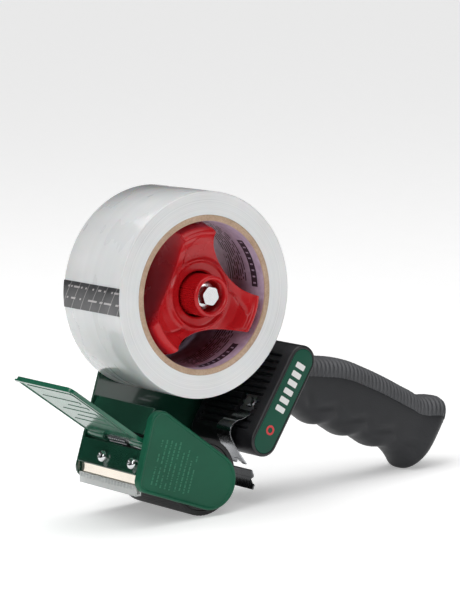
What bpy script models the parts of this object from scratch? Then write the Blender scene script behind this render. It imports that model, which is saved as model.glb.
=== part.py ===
"""Hand-held packing tape dispenser, modelled in metres with +Z up.

Sizes below are millimetres and are scaled to metres when a mesh is built.  X runs from the
cutting head at -X to the handle at +X, Y runs from the open side of the roll (-Y) to the steel
side plate (+Y), and Z = 0 is the table that the roller and the heel of the handle rest on.
"""
import math

import bpy
import bmesh
from mathutils import Matrix, Vector

MM = 0.001
GAP = 0.3                       # clearance kept between neighbouring pieces

# ---- driving dimensions (mm) -------------------------------------------------------------
ROLL_X_IN_FRAME = -44.266       # middle of the roll, measured from the middle of the whole part
ROLL_Y_IN_FRAME = -1.95
ROLL_Z = 114.5
ROLL_HALF_WIDTH = 25.0
CORE_INNER_R = 38.1             # three inch core
CORE_OUTER_R = 41.1
TAPE_OUTER_R = 53.2
STARTER_TAB_HEIGHT = 14.0
STARTER_TAB_RISE = 2.0

HUB_OUTER_R = 37.5
HUB_WAIST_R = 19.8
HUB_LOBE_HALF_ANGLE = 15.0
HUB_FIRST_LOBE = 97.0
HUB_FLANK_ANGLE = 46.0          # from a lobe to the deepest point of the hollow after it
HUB_FRONT_Y = -27.0
HUB_BACK_Y = 21.0
HUB_WALL = 2.5
HUB_CAVITY_Y = -15.5            # the hub is hollow behind this
# lead-in that the roll slides over, and the dished front face (radius, y)
HUB_LEAD_IN = [(0.0, -27.0), (31.8, -27.0), (34.3, -25.4), (37.6, -16.0), (37.6, 22.0), (0.0, 22.0)]
HUB_DISH = [(0.0, -28.0), (31.6, -28.0), (30.6, -26.4), (26.0, -21.4), (17.4, -19.4), (0.0, -19.4)]
BOSS_R = 14.6
BOSS_RECESS_R = 12.0
BOSS_FLOOR_Y = -4.0

KNOB_R = 10.7
KNOB_FRONT_Y = -31.5
KNOB_BACK_Y = -14.5
KNOB_CUP_R = 8.2
KNOB_CUP_FLOOR_Y = -22.0
BRAKE_SPRING_Y = -11.0          # middle of the first coil, clear of the knob's full travel
BOLT_HEAD_Y = (-30.0, -25.6)

AXLE_R = 3.0                    # M6 bolts carry the hub and the roller
AXLE_HOLE_R = AXLE_R + GAP
PLATE_IN_Y = 27.5               # inner face of the steel side plate
PLATE_OUT_Y = 29.0
COVER_OUT_Y = -29.5
COVER_PANEL_IN_Y = -27.5
COVER_EDGE_Y = -25.0
COVER_WALL = 1.6
BRACKET_OUT_Y = -26.2
BRACKET_IN_Y = -25.0

ROLLER_AXIS = (-3.5, 20.2)      # x from the roll axis, z
ROLLER_R = 20.2
ROLLER_Y = (-23.8, 26.2)

# the cheek is the hull of three circles: top, front and rear (x, z, radius)
CHEEK = [(-32.2, 52.4, 6.8), (-41.6, 24.3, 6.0), (-2.0, 18.6, 15.0)]

HOUSING_TOP = (58.4, 73.4)
HOUSING_LOW = (32.4, 34.9)
HOUSING_R = 8.5
HOUSING_Y = (-29.2, 27.2)
GROOVES = 12
GROOVE_PITCH = 3.87
GROOVE_HALF_Y = 21.5

FLAP_PIN = (-38.3, 42.2)
FLAP_LENGTH = 57.0
FLAP_ANGLE = 37.1               # above the horizontal, pointing to -X
FLAP_THICK = 1.8
FLAP_Y = (-24.6, 26.2)

WEB_NEAR_Y = (-24.7, -23.6)     # tabs of the cross pieces, beside the near bracket
WEB_FAR_Y = (26.1, 27.2)        # and beside the side plate
SHEET = 1.2

CATCH_Y = (-17.5, -5.5)
CATCH_U = -6.3                  # depth of the catch's seat, in the housing's own axes
TANG_U = (-0.6, 40.0)           # across the housing, into the handle
TANG_V = (7.2, 14.6)
TANG_HALF_Y = 4.2

GREEN_STEEL = ("green_steel", (0.012, 0.085, 0.05), 0.28, 0.3)
GREEN_PLASTIC = ("green_plastic", (0.012, 0.105, 0.06), 0.4, 0.0)
BLACK_PLASTIC = ("black_plastic", (0.012, 0.012, 0.013), 0.42, 0.0)
SOFT_GRIP = ("soft_grip", (0.03, 0.031, 0.034), 0.62, 0.0)
RIBBED_GRIP = ("ribbed_grip", (0.075, 0.077, 0.082), 0.6, 0.0)
RED_PLASTIC = ("red_plastic", (0.52, 0.008, 0.012), 0.3, 0.0)
SPRING_STEEL = ("spring_steel", (0.42, 0.43, 0.45), 0.22, 1.0)
BRIGHT_STEEL = ("bright_steel", (0.72, 0.73, 0.74), 0.2, 1.0)
BLADE_STEEL = ("blade_steel", (0.66, 0.67, 0.68), 0.15, 1.0)
CLEAR_PLASTIC = ("clear_plastic", (0.8, 0.81, 0.82), 0.25, 0.0)
RUBBER = ("rubber", (0.02, 0.02, 0.021), 0.75, 0.0)
CARDBOARD = ("cardboard", (0.52, 0.37, 0.24), 0.85, 0.0)
TAPE_FILM = ("tape_film", (0.84, 0.85, 0.87), 0.25, 0.0)
TAB_PAPER = ("tab_paper", (0.02, 0.02, 0.02), 0.5, 0.0)
BRONZE = ("bronze", (0.55, 0.36, 0.16), 0.35, 1.0)
WHITE_NYLON = ("white_nylon", (0.75, 0.75, 0.72), 0.45, 0.0)


# ---- building helpers --------------------------------------------------------------------
def clear_scene():
    for obj in list(bpy.data.objects):
        bpy.data.objects.remove(obj, do_unlink=True)


def material(spec):
    name, colour, roughness, metallic = spec
    found = bpy.data.materials.get(name)
    if found:
        return found
    made = bpy.data.materials.new(name)
    made.use_nodes = True
    shader = made.node_tree.nodes["Principled BSDF"]
    shader.inputs["Base Color"].default_value = (*colour, 1.0)
    shader.inputs["Roughness"].default_value = roughness
    shader.inputs["Metallic"].default_value = metallic
    return made


def empty(name, x=0.0, y=0.0, z=0.0, parent=None):
    made = bpy.data.objects.new(name, None)
    made.empty_display_size = 0.01
    made.location = (x * MM, y * MM, z * MM)
    made.parent = parent
    bpy.context.collection.objects.link(made)
    return made


def piece(name, bm, spec, parent, at=(0.0, 0.0, 0.0), smooth=True):
    """Turn a bmesh drawn in millimetres into a named object in metres."""
    bmesh.ops.recalc_face_normals(bm, faces=bm.faces)
    bmesh.ops.scale(bm, vec=(MM, MM, MM), verts=bm.verts)
    mesh = bpy.data.meshes.new(name)
    bm.to_mesh(mesh)
    bm.free()
    if smooth:
        mesh.shade_smooth()
        mesh.set_sharp_from_angle(angle=math.radians(35.0))
    mesh.materials.append(material(spec))
    obj = bpy.data.objects.new(name, mesh)
    bpy.context.collection.objects.link(obj)
    obj.parent = parent
    obj.location = [value * MM for value in at]
    return obj


def combine(target, bm, operation):
    """Join or cut the target with another shape, through a hidden Boolean object."""
    order = len([m for m in target.modifiers])
    name = f"{operation.lower()}_{target.name}_{order}"
    tool = piece(name, bm, CLEAR_PLASTIC, target.parent, [v / MM for v in target.location], smooth=False)
    tool.hide_render = True
    tool.display_type = "WIRE"
    mod = target.modifiers.new(name, "BOOLEAN")
    mod.operation = operation
    mod.solver = "EXACT"
    mod.object = tool


def cut(target, bm):
    combine(target, bm, "DIFFERENCE")


def join(target, bm):
    combine(target, bm, "UNION")


# ---- flat outlines: lists of (x, z) ------------------------------------------------------
def arc(cx, cz, radius, start, end, steps):
    """Points on an arc, angles in degrees."""
    points = []
    for i in range(steps + 1):
        a = math.radians(start + (end - start) * i / steps)
        points.append((cx + radius * math.cos(a), cz + radius * math.sin(a)))
    return points


def circle(cx, cz, radius, steps=24):
    return arc(cx, cz, radius, 0.0, 360.0, steps)[:-1]


def hull_of_circles(circles, grow=0.0, step=9.0):
    """Convex outline round a set of circles, anticlockwise."""
    points = []
    count = int(360 / step)
    for cx, cz, radius in circles:
        points += circle(cx, cz, radius + grow, count)
    points = sorted(set((round(x, 4), round(z, 4)) for x, z in points))

    def half(sequence):
        chain = []
        for p in sequence:
            while len(chain) > 1:
                (ax, az), (bx, bz) = chain[-2], chain[-1]
                if (bx - ax) * (p[1] - az) - (bz - az) * (p[0] - ax) > 1e-6:
                    break
                chain.pop()
            chain.append(p)
        return chain[:-1]

    return half(points) + half(reversed(points))


def offset(points, distance):
    """Move a closed anticlockwise outline outwards by a distance, inwards if negative."""
    result = []
    count = len(points)
    for i, here in enumerate(points):
        before = Vector(points[i - 1])
        after = Vector(points[(i + 1) % count])
        here = Vector(here)
        a = (here - before).normalized()
        b = (after - here).normalized()
        normal = Vector((a.y + b.y, -a.x - b.x))
        normal.normalize()
        spread = max(0.4, normal.dot(Vector((a.y, -a.x))))
        result.append(tuple(here + normal * (distance / spread)))
    return result


def strip(line, thick):
    """Outline of a bent sheet: a centre line given a thickness."""
    left, right = [], []
    last = len(line) - 1
    for i, here in enumerate(line):
        here = Vector(here)
        a = (here - Vector(line[i - 1])).normalized() if i else None
        b = (Vector(line[i + 1]) - here).normalized() if i < last else None
        a, b = a or b, b or a
        normal = Vector((-a.y - b.y, a.x + b.x)).normalized()
        spread = max(0.5, normal.dot(Vector((-a.y, a.x))))
        left.append(tuple(here + normal * (thick / 2 / spread)))
        right.append(tuple(here - normal * (thick / 2 / spread)))
    return left + right[::-1]


# ---- solids ------------------------------------------------------------------------------
def prism(bm, outline, y0, y1):
    """Extrude an (x, z) outline from y0 to y1."""
    near = [bm.verts.new((x, y0, z)) for x, z in outline]
    far = [bm.verts.new((x, y1, z)) for x, z in outline]
    loft(bm, [near, far])
    return bm


def loft(bm, rings, closed_ends=True):
    count = len(rings[0])
    for ring, following in zip(rings, rings[1:]):
        for i in range(count):
            j = (i + 1) % count
            bm.faces.new((ring[i], ring[j], following[j], following[i]))
    if closed_ends:
        bm.faces.new(rings[0][::-1])
        bm.faces.new(rings[-1])
    return bm


def lathe(bm, profile, centre=(0.0, 0.0), segments=32):
    """Turn a closed (radius, y) profile round the Y axis through centre (x, z)."""
    rings = []
    for k in range(segments):
        a = 2 * math.pi * k / segments
        ring = []
        for radius, y in profile:
            x = centre[0] + radius * math.cos(a)
            z = centre[1] + radius * math.sin(a)
            ring.append(bm.verts.new((x, y, z)))
        rings.append(ring)
    rings.append(rings[0])
    loft(bm, rings, closed_ends=False)
    return bm


def rod(bm, centre, radius, y0, y1, steps=20):
    return prism(bm, circle(centre[0], centre[1], radius, steps), y0, y1)


def tube_profile(inner, outer, y0, y1):
    return [(inner, y0), (outer, y0), (outer, y1), (inner, y1)]


def hexagon(cx, cz, across_flats):
    return circle(cx, cz, across_flats / math.sqrt(3.0), 6)


def headed_pin(bm, centre, shank_r, head_r, y_head, y_shoulder, y_end, steps=16):
    """A screw or rivet along Y in one piece: a head disc and a thinner shank."""
    cx, cz = centre
    head = [bm.verts.new((x, y_head, z)) for x, z in circle(cx, cz, head_r, steps)]
    rim = [bm.verts.new((x, y_shoulder, z)) for x, z in circle(cx, cz, head_r, steps)]
    neck = [bm.verts.new((x, y_shoulder, z)) for x, z in circle(cx, cz, shank_r, steps)]
    end = [bm.verts.new((x, y_end, z)) for x, z in circle(cx, cz, shank_r, steps)]
    return loft(bm, [head, rim, neck, end])


# ---- the frame: side plate, cover, bracket and cross pieces --------------------------------
BAND_LINE = [(-32.9, 60.2), (-36.2, 54.9), (-40.3, 47.6)]
PANEL_LINE = [(-42.0, 39.8), (-45.6, 29.2), (-47.0, 27.9)]
BAND_SCREWS = [(-31.4, 54.2), (-34.8, 48.2)]
PANEL_SCREW = (-38.4, 36.4)
COVER_SCREWS = [(-27.5, 47.5), (-38.6, 24.2)]
HOUSING_SCREWS = [0.92, 0.52, 0.12]   # shares of the way up the housing
GUIDE_SCREW = (24.0, 24.6)


def along_housing(share):
    """Point on the centre line of the housing, from its low end (0) to its top end (1)."""
    x = HOUSING_LOW[0] + (HOUSING_TOP[0] - HOUSING_LOW[0]) * share
    z = HOUSING_LOW[1] + (HOUSING_TOP[1] - HOUSING_LOW[1]) * share
    return (x, z)


def housing_point(u, v):
    """Housing axes: u across it towards the handle, v up along it, from its middle."""
    middle = Vector(along_housing(0.5))
    up = (Vector(HOUSING_TOP) - Vector(HOUSING_LOW)).normalized()
    across = Vector((up.y, -up.x))
    return tuple(middle + across * u + up * v)


def side_plate(parent):
    circles = [CHEEK[1], CHEEK[2], (0.0, ROLL_Z, 16.2)]
    circles += [(*HOUSING_TOP, HOUSING_R - 0.4), (*HOUSING_LOW, HOUSING_R - 0.4)]
    bm = prism(bmesh.new(), hull_of_circles(circles), PLATE_IN_Y, PLATE_OUT_Y)
    plate = piece("side_plate", bm, GREEN_STEEL, parent)
    holes = bmesh.new()
    through = (PLATE_IN_Y - 1, PLATE_OUT_Y + 1)
    rod(holes, (0.0, ROLL_Z), AXLE_HOLE_R, *through)
    rod(holes, ROLLER_AXIS, AXLE_HOLE_R, *through)
    rod(holes, FLAP_PIN, 1.6, *through, steps=12)
    for centre in BAND_SCREWS + [PANEL_SCREW, GUIDE_SCREW]:
        rod(holes, centre, 1.8, *through, steps=12)
    for share in HOUSING_SCREWS:
        rod(holes, along_housing(share), 2.3, *through, steps=16)
    cut(plate, holes)
    return plate


def near_cover(parent):
    outline = hull_of_circles(CHEEK)
    cover = piece("near_cover", prism(bmesh.new(), outline, COVER_OUT_Y, COVER_EDGE_Y),
                  GREEN_PLASTIC, parent)
    inner = hull_of_circles(CHEEK, -COVER_WALL)
    cut(cover, prism(bmesh.new(), inner, COVER_PANEL_IN_Y, COVER_EDGE_Y + 1))
    bosses = bmesh.new()
    for centre in COVER_SCREWS:
        rod(bosses, centre, 3.0, COVER_PANEL_IN_Y - 0.5, BRACKET_OUT_Y - GAP, 16)
    join(cover, bosses)
    pilots = bmesh.new()
    for centre in COVER_SCREWS:
        rod(pilots, centre, 1.5, COVER_PANEL_IN_Y - 0.6, BRACKET_OUT_Y, 12)
    cut(cover, pilots)
    return cover


def near_bracket(parent):
    outline = hull_of_circles(CHEEK, -COVER_WALL - 0.5)
    bracket = piece("near_bracket", prism(bmesh.new(), outline, BRACKET_OUT_Y, BRACKET_IN_Y),
                    GREEN_STEEL, parent)
    holes = bmesh.new()
    through = (BRACKET_OUT_Y - 1, BRACKET_IN_Y + 1)
    rod(holes, ROLLER_AXIS, AXLE_HOLE_R, *through)
    rod(holes, FLAP_PIN, 1.6, *through, steps=12)
    for centre in BAND_SCREWS + [PANEL_SCREW]:
        rod(holes, centre, 1.8, *through, steps=12)
    for centre in COVER_SCREWS:
        rod(holes, centre, 1.5, *through, steps=12)
    cut(bracket, holes)
    return bracket


def with_tabs(name, line, tab_outline, screws, parent):
    """A bent cross sheet with an upright tab at each end."""
    bm = prism(bmesh.new(), strip(line, SHEET), WEB_NEAR_Y[0], WEB_FAR_Y[1])
    sheet = piece(name, bm, GREEN_STEEL, parent)
    tabs = bmesh.new()
    prism(tabs, tab_outline, *WEB_NEAR_Y)
    prism(tabs, tab_outline, *WEB_FAR_Y)
    join(sheet, tabs)
    holes = bmesh.new()
    for centre in screws:
        rod(holes, centre, 1.8, WEB_NEAR_Y[0] - 1, WEB_FAR_Y[1] + 1, 12)
    cut(sheet, holes)
    return sheet


def cross_band(parent):
    tab = [(-33.2, 59.6), (-36.2, 54.9), (-40.2, 47.9), (-35.4, 44.9), (-31.2, 49.4), (-27.9, 57.2)]
    return with_tabs("cross_band", BAND_LINE, tab, BAND_SCREWS, parent)


def front_panel(parent):
    tab = [(-42.0, 39.6), (-43.0, 36.8), (-41.2, 36.2), (-38.8, 33.6), (-35.6, 34.2), (-35.8, 37.6),
           (-38.6, 38.6)]
    panel = with_tabs("front_panel", PANEL_LINE, tab, [PANEL_SCREW], parent)
    holes = bmesh.new()
    blade_screw_shafts(holes, BLADE_SCREW_R + GAP, -3.0, 3.0)
    cut(panel, holes)
    return panel


# ---- the blade, its screws and its guard ---------------------------------------------------
BLADE_Y = (-24.2, 26.6)
BLADE_TOOTH_PITCH = 2.8
BLADE_TOOTH_DEPTH = 2.6
BLADE_SCREW_R = 1.9
BLADE_SCREW_PROFILE = ((2.1, 3.6), (3.0, 2.7), (3.1, 0.9), (BLADE_SCREW_R, 0.9), (BLADE_SCREW_R, -4.6))
BLADE_NUT_PROFILE = ((3.2, -2.2), (3.2, -4.2), (BLADE_SCREW_R + GAP, -4.2), (BLADE_SCREW_R + GAP, -2.2))
BLADE_SCREW_Y = [5.5, -21.0]
BLADE_SCREW_AT = (-44.45, 32.6)
PANEL_SLOPE = (Vector(PANEL_LINE[0]) - Vector(PANEL_LINE[1])).normalized()
PANEL_OUT = Vector((-PANEL_SLOPE.y, PANEL_SLOPE.x))


def blade_screw_shafts(bm, radius, start, end, steps=12):
    """Round shafts square to the front panel; distances run outwards from its middle."""
    for y in BLADE_SCREW_Y:
        rings = []
        for distance in (start, end):
            ring = []
            for k in range(steps):
                a = 2 * math.pi * k / steps
                up = PANEL_SLOPE * (radius * math.cos(a)) + PANEL_OUT * distance
                x, z = Vector(BLADE_SCREW_AT) + up
                ring.append(bm.verts.new((x, y + radius * math.sin(a), z)))
            rings.append(ring)
        loft(bm, rings)


def blade(parent):
    """Steel strip behind the front panel, bent once, with a row of pointed teeth below."""
    back = Vector(PANEL_LINE[1]) - PANEL_OUT * (SHEET / 2 + GAP + 0.45)
    top = back + PANEL_SLOPE * 7.0
    line = [(top.x, top.y), (back.x, back.y), (-44.9, 20.9)]
    outer = strip(line, 0.8)
    bm = prism(bmesh.new(), outer, *BLADE_Y)
    plate = piece("blade", bm, BLADE_STEEL, parent, smooth=False)
    teeth = bmesh.new()
    count = int((BLADE_Y[1] - BLADE_Y[0]) / BLADE_TOOTH_PITCH)
    half = BLADE_TOOTH_PITCH / 2
    start = (BLADE_Y[0] + BLADE_Y[1] - count * BLADE_TOOTH_PITCH) / 2
    edge = [(start, 21.4)]
    for i in range(count):
        y = start + i * BLADE_TOOTH_PITCH
        edge += [(y, 20.9), (y + half, 20.9 - BLADE_TOOTH_DEPTH)]
    edge += [(start + count * BLADE_TOOTH_PITCH, 20.9), (start + count * BLADE_TOOTH_PITCH, 21.4)]
    front = [teeth.verts.new((-45.3, y, z)) for y, z in edge]
    rear = [teeth.verts.new((-44.5, y, z)) for y, z in edge]
    loft(teeth, [front, rear])
    join(plate, teeth)
    holes = bmesh.new()
    blade_screw_shafts(holes, BLADE_SCREW_R + GAP, -3.5, 0.5)
    cut(plate, holes)
    return plate


def blade_screws(parent):
    for number, y in enumerate(BLADE_SCREW_Y, 1):
        bm = bmesh.new()
        rings = []
        for radius, distance in BLADE_SCREW_PROFILE:
            ring = []
            for k in range(16):
                a = 2 * math.pi * k / 16
                x, z = Vector(BLADE_SCREW_AT) + PANEL_SLOPE * (radius * math.cos(a)) + PANEL_OUT * distance
                ring.append(bm.verts.new((x, y + radius * math.sin(a), z)))
            rings.append(ring)
        loft(bm, rings)
        piece(f"blade_screw_{number}", bm, BRIGHT_STEEL, parent)


def blade_nuts(parent):
    for number, y in enumerate(BLADE_SCREW_Y, 1):
        bm = bmesh.new()
        rings = []
        for radius, distance in BLADE_NUT_PROFILE:
            ring = []
            for k in range(12):
                a = math.radians(30.0) * k
                reach = radius if k % 2 == 0 or radius < 3 else radius * math.cos(math.radians(30.0))
                x, z = Vector(BLADE_SCREW_AT) + PANEL_SLOPE * (reach * math.cos(a)) + PANEL_OUT * distance
                ring.append(bm.verts.new((x, y + reach * math.sin(a), z)))
            rings.append(ring)
        rings.append(rings[0])
        loft(bm, rings, closed_ends=False)
        piece(f"blade_nut_{number}", bm, BRIGHT_STEEL, parent, smooth=False)


def blade_guard(parent):
    outline = [(-46.6, 22.3), (-46.6, 16.6), (-43.3, 16.6), (-43.3, 20.4), (-44.1, 20.4), (-44.1, 17.6),
               (-45.7, 17.6), (-45.7, 22.3)]
    return piece("blade_guard", prism(bmesh.new(), outline, -24.6, 26.9), CLEAR_PLASTIC, parent, smooth=False)


def frame_screws(parent):
    """Screws that hold the cross pieces to the side plate and to the near bracket."""
    for number, centre in enumerate(BAND_SCREWS + [PANEL_SCREW], 1):
        far = headed_pin(bmesh.new(), centre, 1.5, 2.9, PLATE_OUT_Y + GAP + 1.3, PLATE_OUT_Y + GAP,
                         WEB_FAR_Y[0] - 1.0)
        piece(f"far_frame_screw_{number}", far, BRIGHT_STEEL, parent)
        near = headed_pin(bmesh.new(), centre, 1.5, 2.4, BRACKET_OUT_Y - GAP - 0.8, BRACKET_OUT_Y - GAP,
                          WEB_NEAR_Y[1] + 1.0)
        piece(f"near_frame_screw_{number}", near, BRIGHT_STEEL, parent)
    for number, centre in enumerate(COVER_SCREWS, 1):
        screw = headed_pin(bmesh.new(), centre, 1.2, 2.2, BRACKET_IN_Y + GAP + 0.7, BRACKET_IN_Y + GAP,
                           COVER_PANEL_IN_Y - 0.2, 12)
        piece(f"cover_screw_{number}", screw, BRIGHT_STEEL, parent)


# ---- the flap ------------------------------------------------------------------------------
def flap_parts(root):
    axis = empty("flap_axis", FLAP_PIN[0], 0.0, FLAP_PIN[1], root)
    pin = rod(bmesh.new(), FLAP_PIN, 1.25, BRACKET_OUT_Y - 0.6, PLATE_OUT_Y + 0.6, 16)
    piece("flap_pin", pin, BRIGHT_STEEL, root)
    reach = math.radians(FLAP_ANGLE)
    out = Vector((-math.cos(reach), math.sin(reach)))
    up = Vector((math.sin(reach), math.cos(reach)))
    tip = out * FLAP_LENGTH
    bend = out * (FLAP_LENGTH - 1.0)
    line = [tuple(out * 2.0), tuple(bend), tuple(tip - up * 0.9)]
    bm = prism(bmesh.new(), strip(line, FLAP_THICK), *FLAP_Y)
    flap = piece("flap", bm, GREEN_PLASTIC, axis)
    barrel = bmesh.new()
    for y0, y1 in ((FLAP_Y[0], -12.0), (12.0, FLAP_Y[1])):
        rod(barrel, (0.0, 0.0), 3.0, y0, y1, 24)
    join(flap, barrel)
    bore = rod(bmesh.new(), (0.0, 0.0), 1.55, FLAP_Y[0] - 1, FLAP_Y[1] + 1, 16)
    cut(flap, bore)
    clear = [tuple(out * -4.0 + up * 4.0), tuple(out * -4.0 - up * 4.0), tuple(out * 3.6 - up * 4.0),
             tuple(out * 3.6 + up * 4.0)]
    cut(flap, prism(bmesh.new(), clear, -11.9, 11.9))
    piece("flap_spring", coil(bmesh.new(), FLAP_PIN, 2.35, 0.4, -8.0, 8.0, 9, 10), SPRING_STEEL, root)
    return axis


def coil(bm, centre, radius, wire, y0, y1, turns, sides_per_turn=12, sides=6):
    """A round wire wound about the Y axis, as one closed tube."""
    rings = []
    count = turns * sides_per_turn
    for i in range(count + 1):
        a = 2 * math.pi * i / sides_per_turn
        y = y0 + wire + (y1 - y0 - 2 * wire) * i / count
        radial = Vector((math.cos(a), 0.0, math.sin(a)))
        ring = []
        for k in range(sides):
            b = 2 * math.pi * k / sides
            place = Vector((centre[0], y, centre[1])) + radial * (radius + wire * math.cos(b))
            ring.append(bm.verts.new(place + Vector((0.0, wire * math.sin(b), 0.0))))
        rings.append(ring)
    return loft(bm, rings)


# ---- the roller ----------------------------------------------------------------------------
def roller_parts(root):
    axis = empty("roller_axis", ROLLER_AXIS[0], 0.0, ROLLER_AXIS[1], root)
    y0, y1 = ROLLER_Y
    tyre = lathe(bmesh.new(), tube_profile(17.5, ROLLER_R, y0, y1), segments=56)
    piece("roller_tyre", tyre, RUBBER, axis)
    middle = (y0 + y1) / 2
    spool = [(5.3, y0 + 0.5), (8.0, y0 + 0.5), (8.0, middle - 1.5), (14.5, middle - 1.5), (14.5, y0 + 0.5),
             (17.2, y0 + 0.5), (17.2, y1 - 0.5), (14.5, y1 - 0.5), (14.5, middle + 1.5), (8.0, middle + 1.5),
             (8.0, y1 - 0.5), (5.3, y1 - 0.5)]
    piece("roller_core", lathe(bmesh.new(), spool, segments=40), BLACK_PLASTIC, axis)
    bushes = (("near_roller_bush", y0 - 0.1, y0 + 8.0), ("far_roller_bush", y1 + 0.1, y1 - 8.0))
    for name, start, end in bushes:
        step = start + math.copysign(GAP, end - start)
        lip = [(AXLE_HOLE_R, start), (5.0, start), (5.0, step), (5.0, end), (AXLE_HOLE_R, end)]
        piece(name, lathe(bmesh.new(), lip, segments=24), WHITE_NYLON, axis)
    axle = rod(bmesh.new(), ROLLER_AXIS, AXLE_R, COVER_PANEL_IN_Y + GAP, PLATE_OUT_Y + 5.2, 24)
    piece("roller_axle", axle, BRIGHT_STEEL, root)
    nut = lathe_hex(ROLLER_AXIS, 10.0, PLATE_OUT_Y + GAP, PLATE_OUT_Y + 4.3)
    piece("roller_axle_nut", nut, BRIGHT_STEEL, root, smooth=False)
    return axis


def lathe_hex(centre, across_flats, y0, y1):
    """A hexagon nut with its round hole, as one ring."""
    bm = bmesh.new()
    steps = 24
    corner = across_flats / math.sqrt(3.0)
    rings = []
    for k in range(steps):
        a = 2 * math.pi * k / steps
        within = (a % math.radians(60.0)) - math.radians(30.0)
        reach = across_flats / 2 / math.cos(within)
        reach = min(reach, corner)
        ring = []
        for radius, y in tube_profile(AXLE_HOLE_R, reach, y0, y1):
            ring.append(bm.verts.new((centre[0] + radius * math.cos(a), y, centre[1] + radius * math.sin(a))))
        rings.append(ring)
    rings.append(rings[0])
    return loft(bm, rings, closed_ends=False)


# ---- hub, tape roll and brake --------------------------------------------------------------
def lobe_outline(outer, waist, half_angle):
    """Three blunt lobes joined by hollow flanks, anticlockwise, about the origin."""
    points = []
    for lobe in range(3):
        middle = HUB_FIRST_LOBE + 120.0 * lobe
        tip = arc(0.0, 0.0, outer, middle - half_angle, middle + half_angle, 6)
        start = Vector(tip[-1])
        deepest = middle + HUB_FLANK_ANGLE
        bottom = Vector(arc(0.0, 0.0, waist, deepest, deepest, 1)[0])
        end = Vector(arc(0.0, 0.0, outer, middle + 120.0 - half_angle, middle + 120.0 - half_angle, 1)[0])
        points += tip
        for i in range(1, 10):
            t = i / 10
            control = bottom * 2.0 - (start + end) * 0.5
            points.append(tuple(start * (1 - t) ** 2 + control * (2 * t * (1 - t)) + end * t ** 2))
    return points


def hub_parts(root):
    axis = empty("roll_axis", 0.0, 0.0, ROLL_Z, root)
    outline = lobe_outline(HUB_OUTER_R, HUB_WAIST_R, HUB_LOBE_HALF_ANGLE)
    hub = piece("hub", prism(bmesh.new(), outline, HUB_FRONT_Y, HUB_BACK_Y), RED_PLASTIC, axis)
    hollow = offset(outline, -HUB_WALL)
    cut(hub, prism(bmesh.new(), hollow, HUB_CAVITY_Y, HUB_BACK_Y + 1))
    bosses = bmesh.new()
    rod(bosses, (0.0, 0.0), BOSS_R, -16.0, 0.0, 40)
    join(hub, bosses)
    join(hub, rod(bmesh.new(), (0.0, 0.0), 7.8, -2.0, HUB_BACK_Y + 3.0, 32))
    combine(hub, lathe_solid(HUB_LEAD_IN, 72), "INTERSECT")
    cut(hub, lathe_solid(HUB_DISH, 40))
    cut(hub, rod(bmesh.new(), (0.0, 0.0), BOSS_RECESS_R, HUB_FRONT_Y - 1, BOSS_FLOOR_Y, 40))
    cut(hub, rod(bmesh.new(), (0.0, 0.0), 5.5, -10.0, HUB_BACK_Y + 5.0, 24))
    bush = tube_profile(AXLE_HOLE_R, 5.2, BOSS_FLOOR_Y + 0.4, HUB_BACK_Y + 2.9)
    piece("hub_bush", lathe(bmesh.new(), bush, segments=24), BRONZE, axis)

    width = ROLL_HALF_WIDTH
    core = lathe(bmesh.new(), tube_profile(CORE_INNER_R, CORE_OUTER_R, -width, width), segments=64)
    piece("tape_core", core, CARDBOARD, axis)
    tape = lathe(bmesh.new(), tube_profile(CORE_OUTER_R + GAP, TAPE_OUTER_R, -width, width), segments=72)
    piece("tape_winding", tape, TAPE_FILM, axis)
    half = math.degrees(STARTER_TAB_HEIGHT / 2 / TAPE_OUTER_R)
    rise = math.degrees(STARTER_TAB_RISE / TAPE_OUTER_R)
    start, end = 180.0 - rise - half, 180.0 - rise + half
    inner = arc(0.0, 0.0, TAPE_OUTER_R + GAP, start, end, 6)
    outer = arc(0.0, 0.0, TAPE_OUTER_R + GAP + 0.3, start, end, 6)
    piece("starter_tab", prism(bmesh.new(), outer + inner[::-1], -width, width), TAB_PAPER, axis)

    head = prism(bmesh.new(), hexagon(0.0, 0.0, 9.0), *BOLT_HEAD_Y)
    bolt = piece("axle_bolt", head, BRIGHT_STEEL, root, (0.0, 0.0, ROLL_Z))
    join(bolt, rod(bmesh.new(), (0.0, 0.0), AXLE_R, BOLT_HEAD_Y[1] - 0.5, PLATE_OUT_Y + 6.4, 24))
    profile = tube_profile(AXLE_HOLE_R, 8.5, HUB_BACK_Y + 3.3, PLATE_IN_Y - GAP)
    washer = lathe(bmesh.new(), profile, segments=24)
    piece("hub_spacer", washer, BRIGHT_STEEL, root, (0.0, 0.0, ROLL_Z))
    nut = lathe_hex((0.0, 0.0), 10.0, PLATE_OUT_Y + GAP, PLATE_OUT_Y + 5.3)
    piece("axle_nut", nut, BRIGHT_STEEL, root, (0.0, 0.0, ROLL_Z), smooth=False)
    return axis


def lathe_solid(profile, segments):
    """Turn an open (radius, y) profile that starts and ends on the axis."""
    bm = bmesh.new()
    first = bm.verts.new((0.0, profile[0][1], 0.0))
    last = bm.verts.new((0.0, profile[-1][1], 0.0))
    rings = []
    for radius, y in profile[1:-1]:
        rings.append([bm.verts.new((x, y, z)) for x, z in circle(0.0, 0.0, radius, segments)])
    loft(bm, rings, closed_ends=False)
    for i in range(segments):
        j = (i + 1) % segments
        bm.faces.new((first, rings[0][j], rings[0][i]))
        bm.faces.new((last, rings[-1][i], rings[-1][j]))
    return bm


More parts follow.
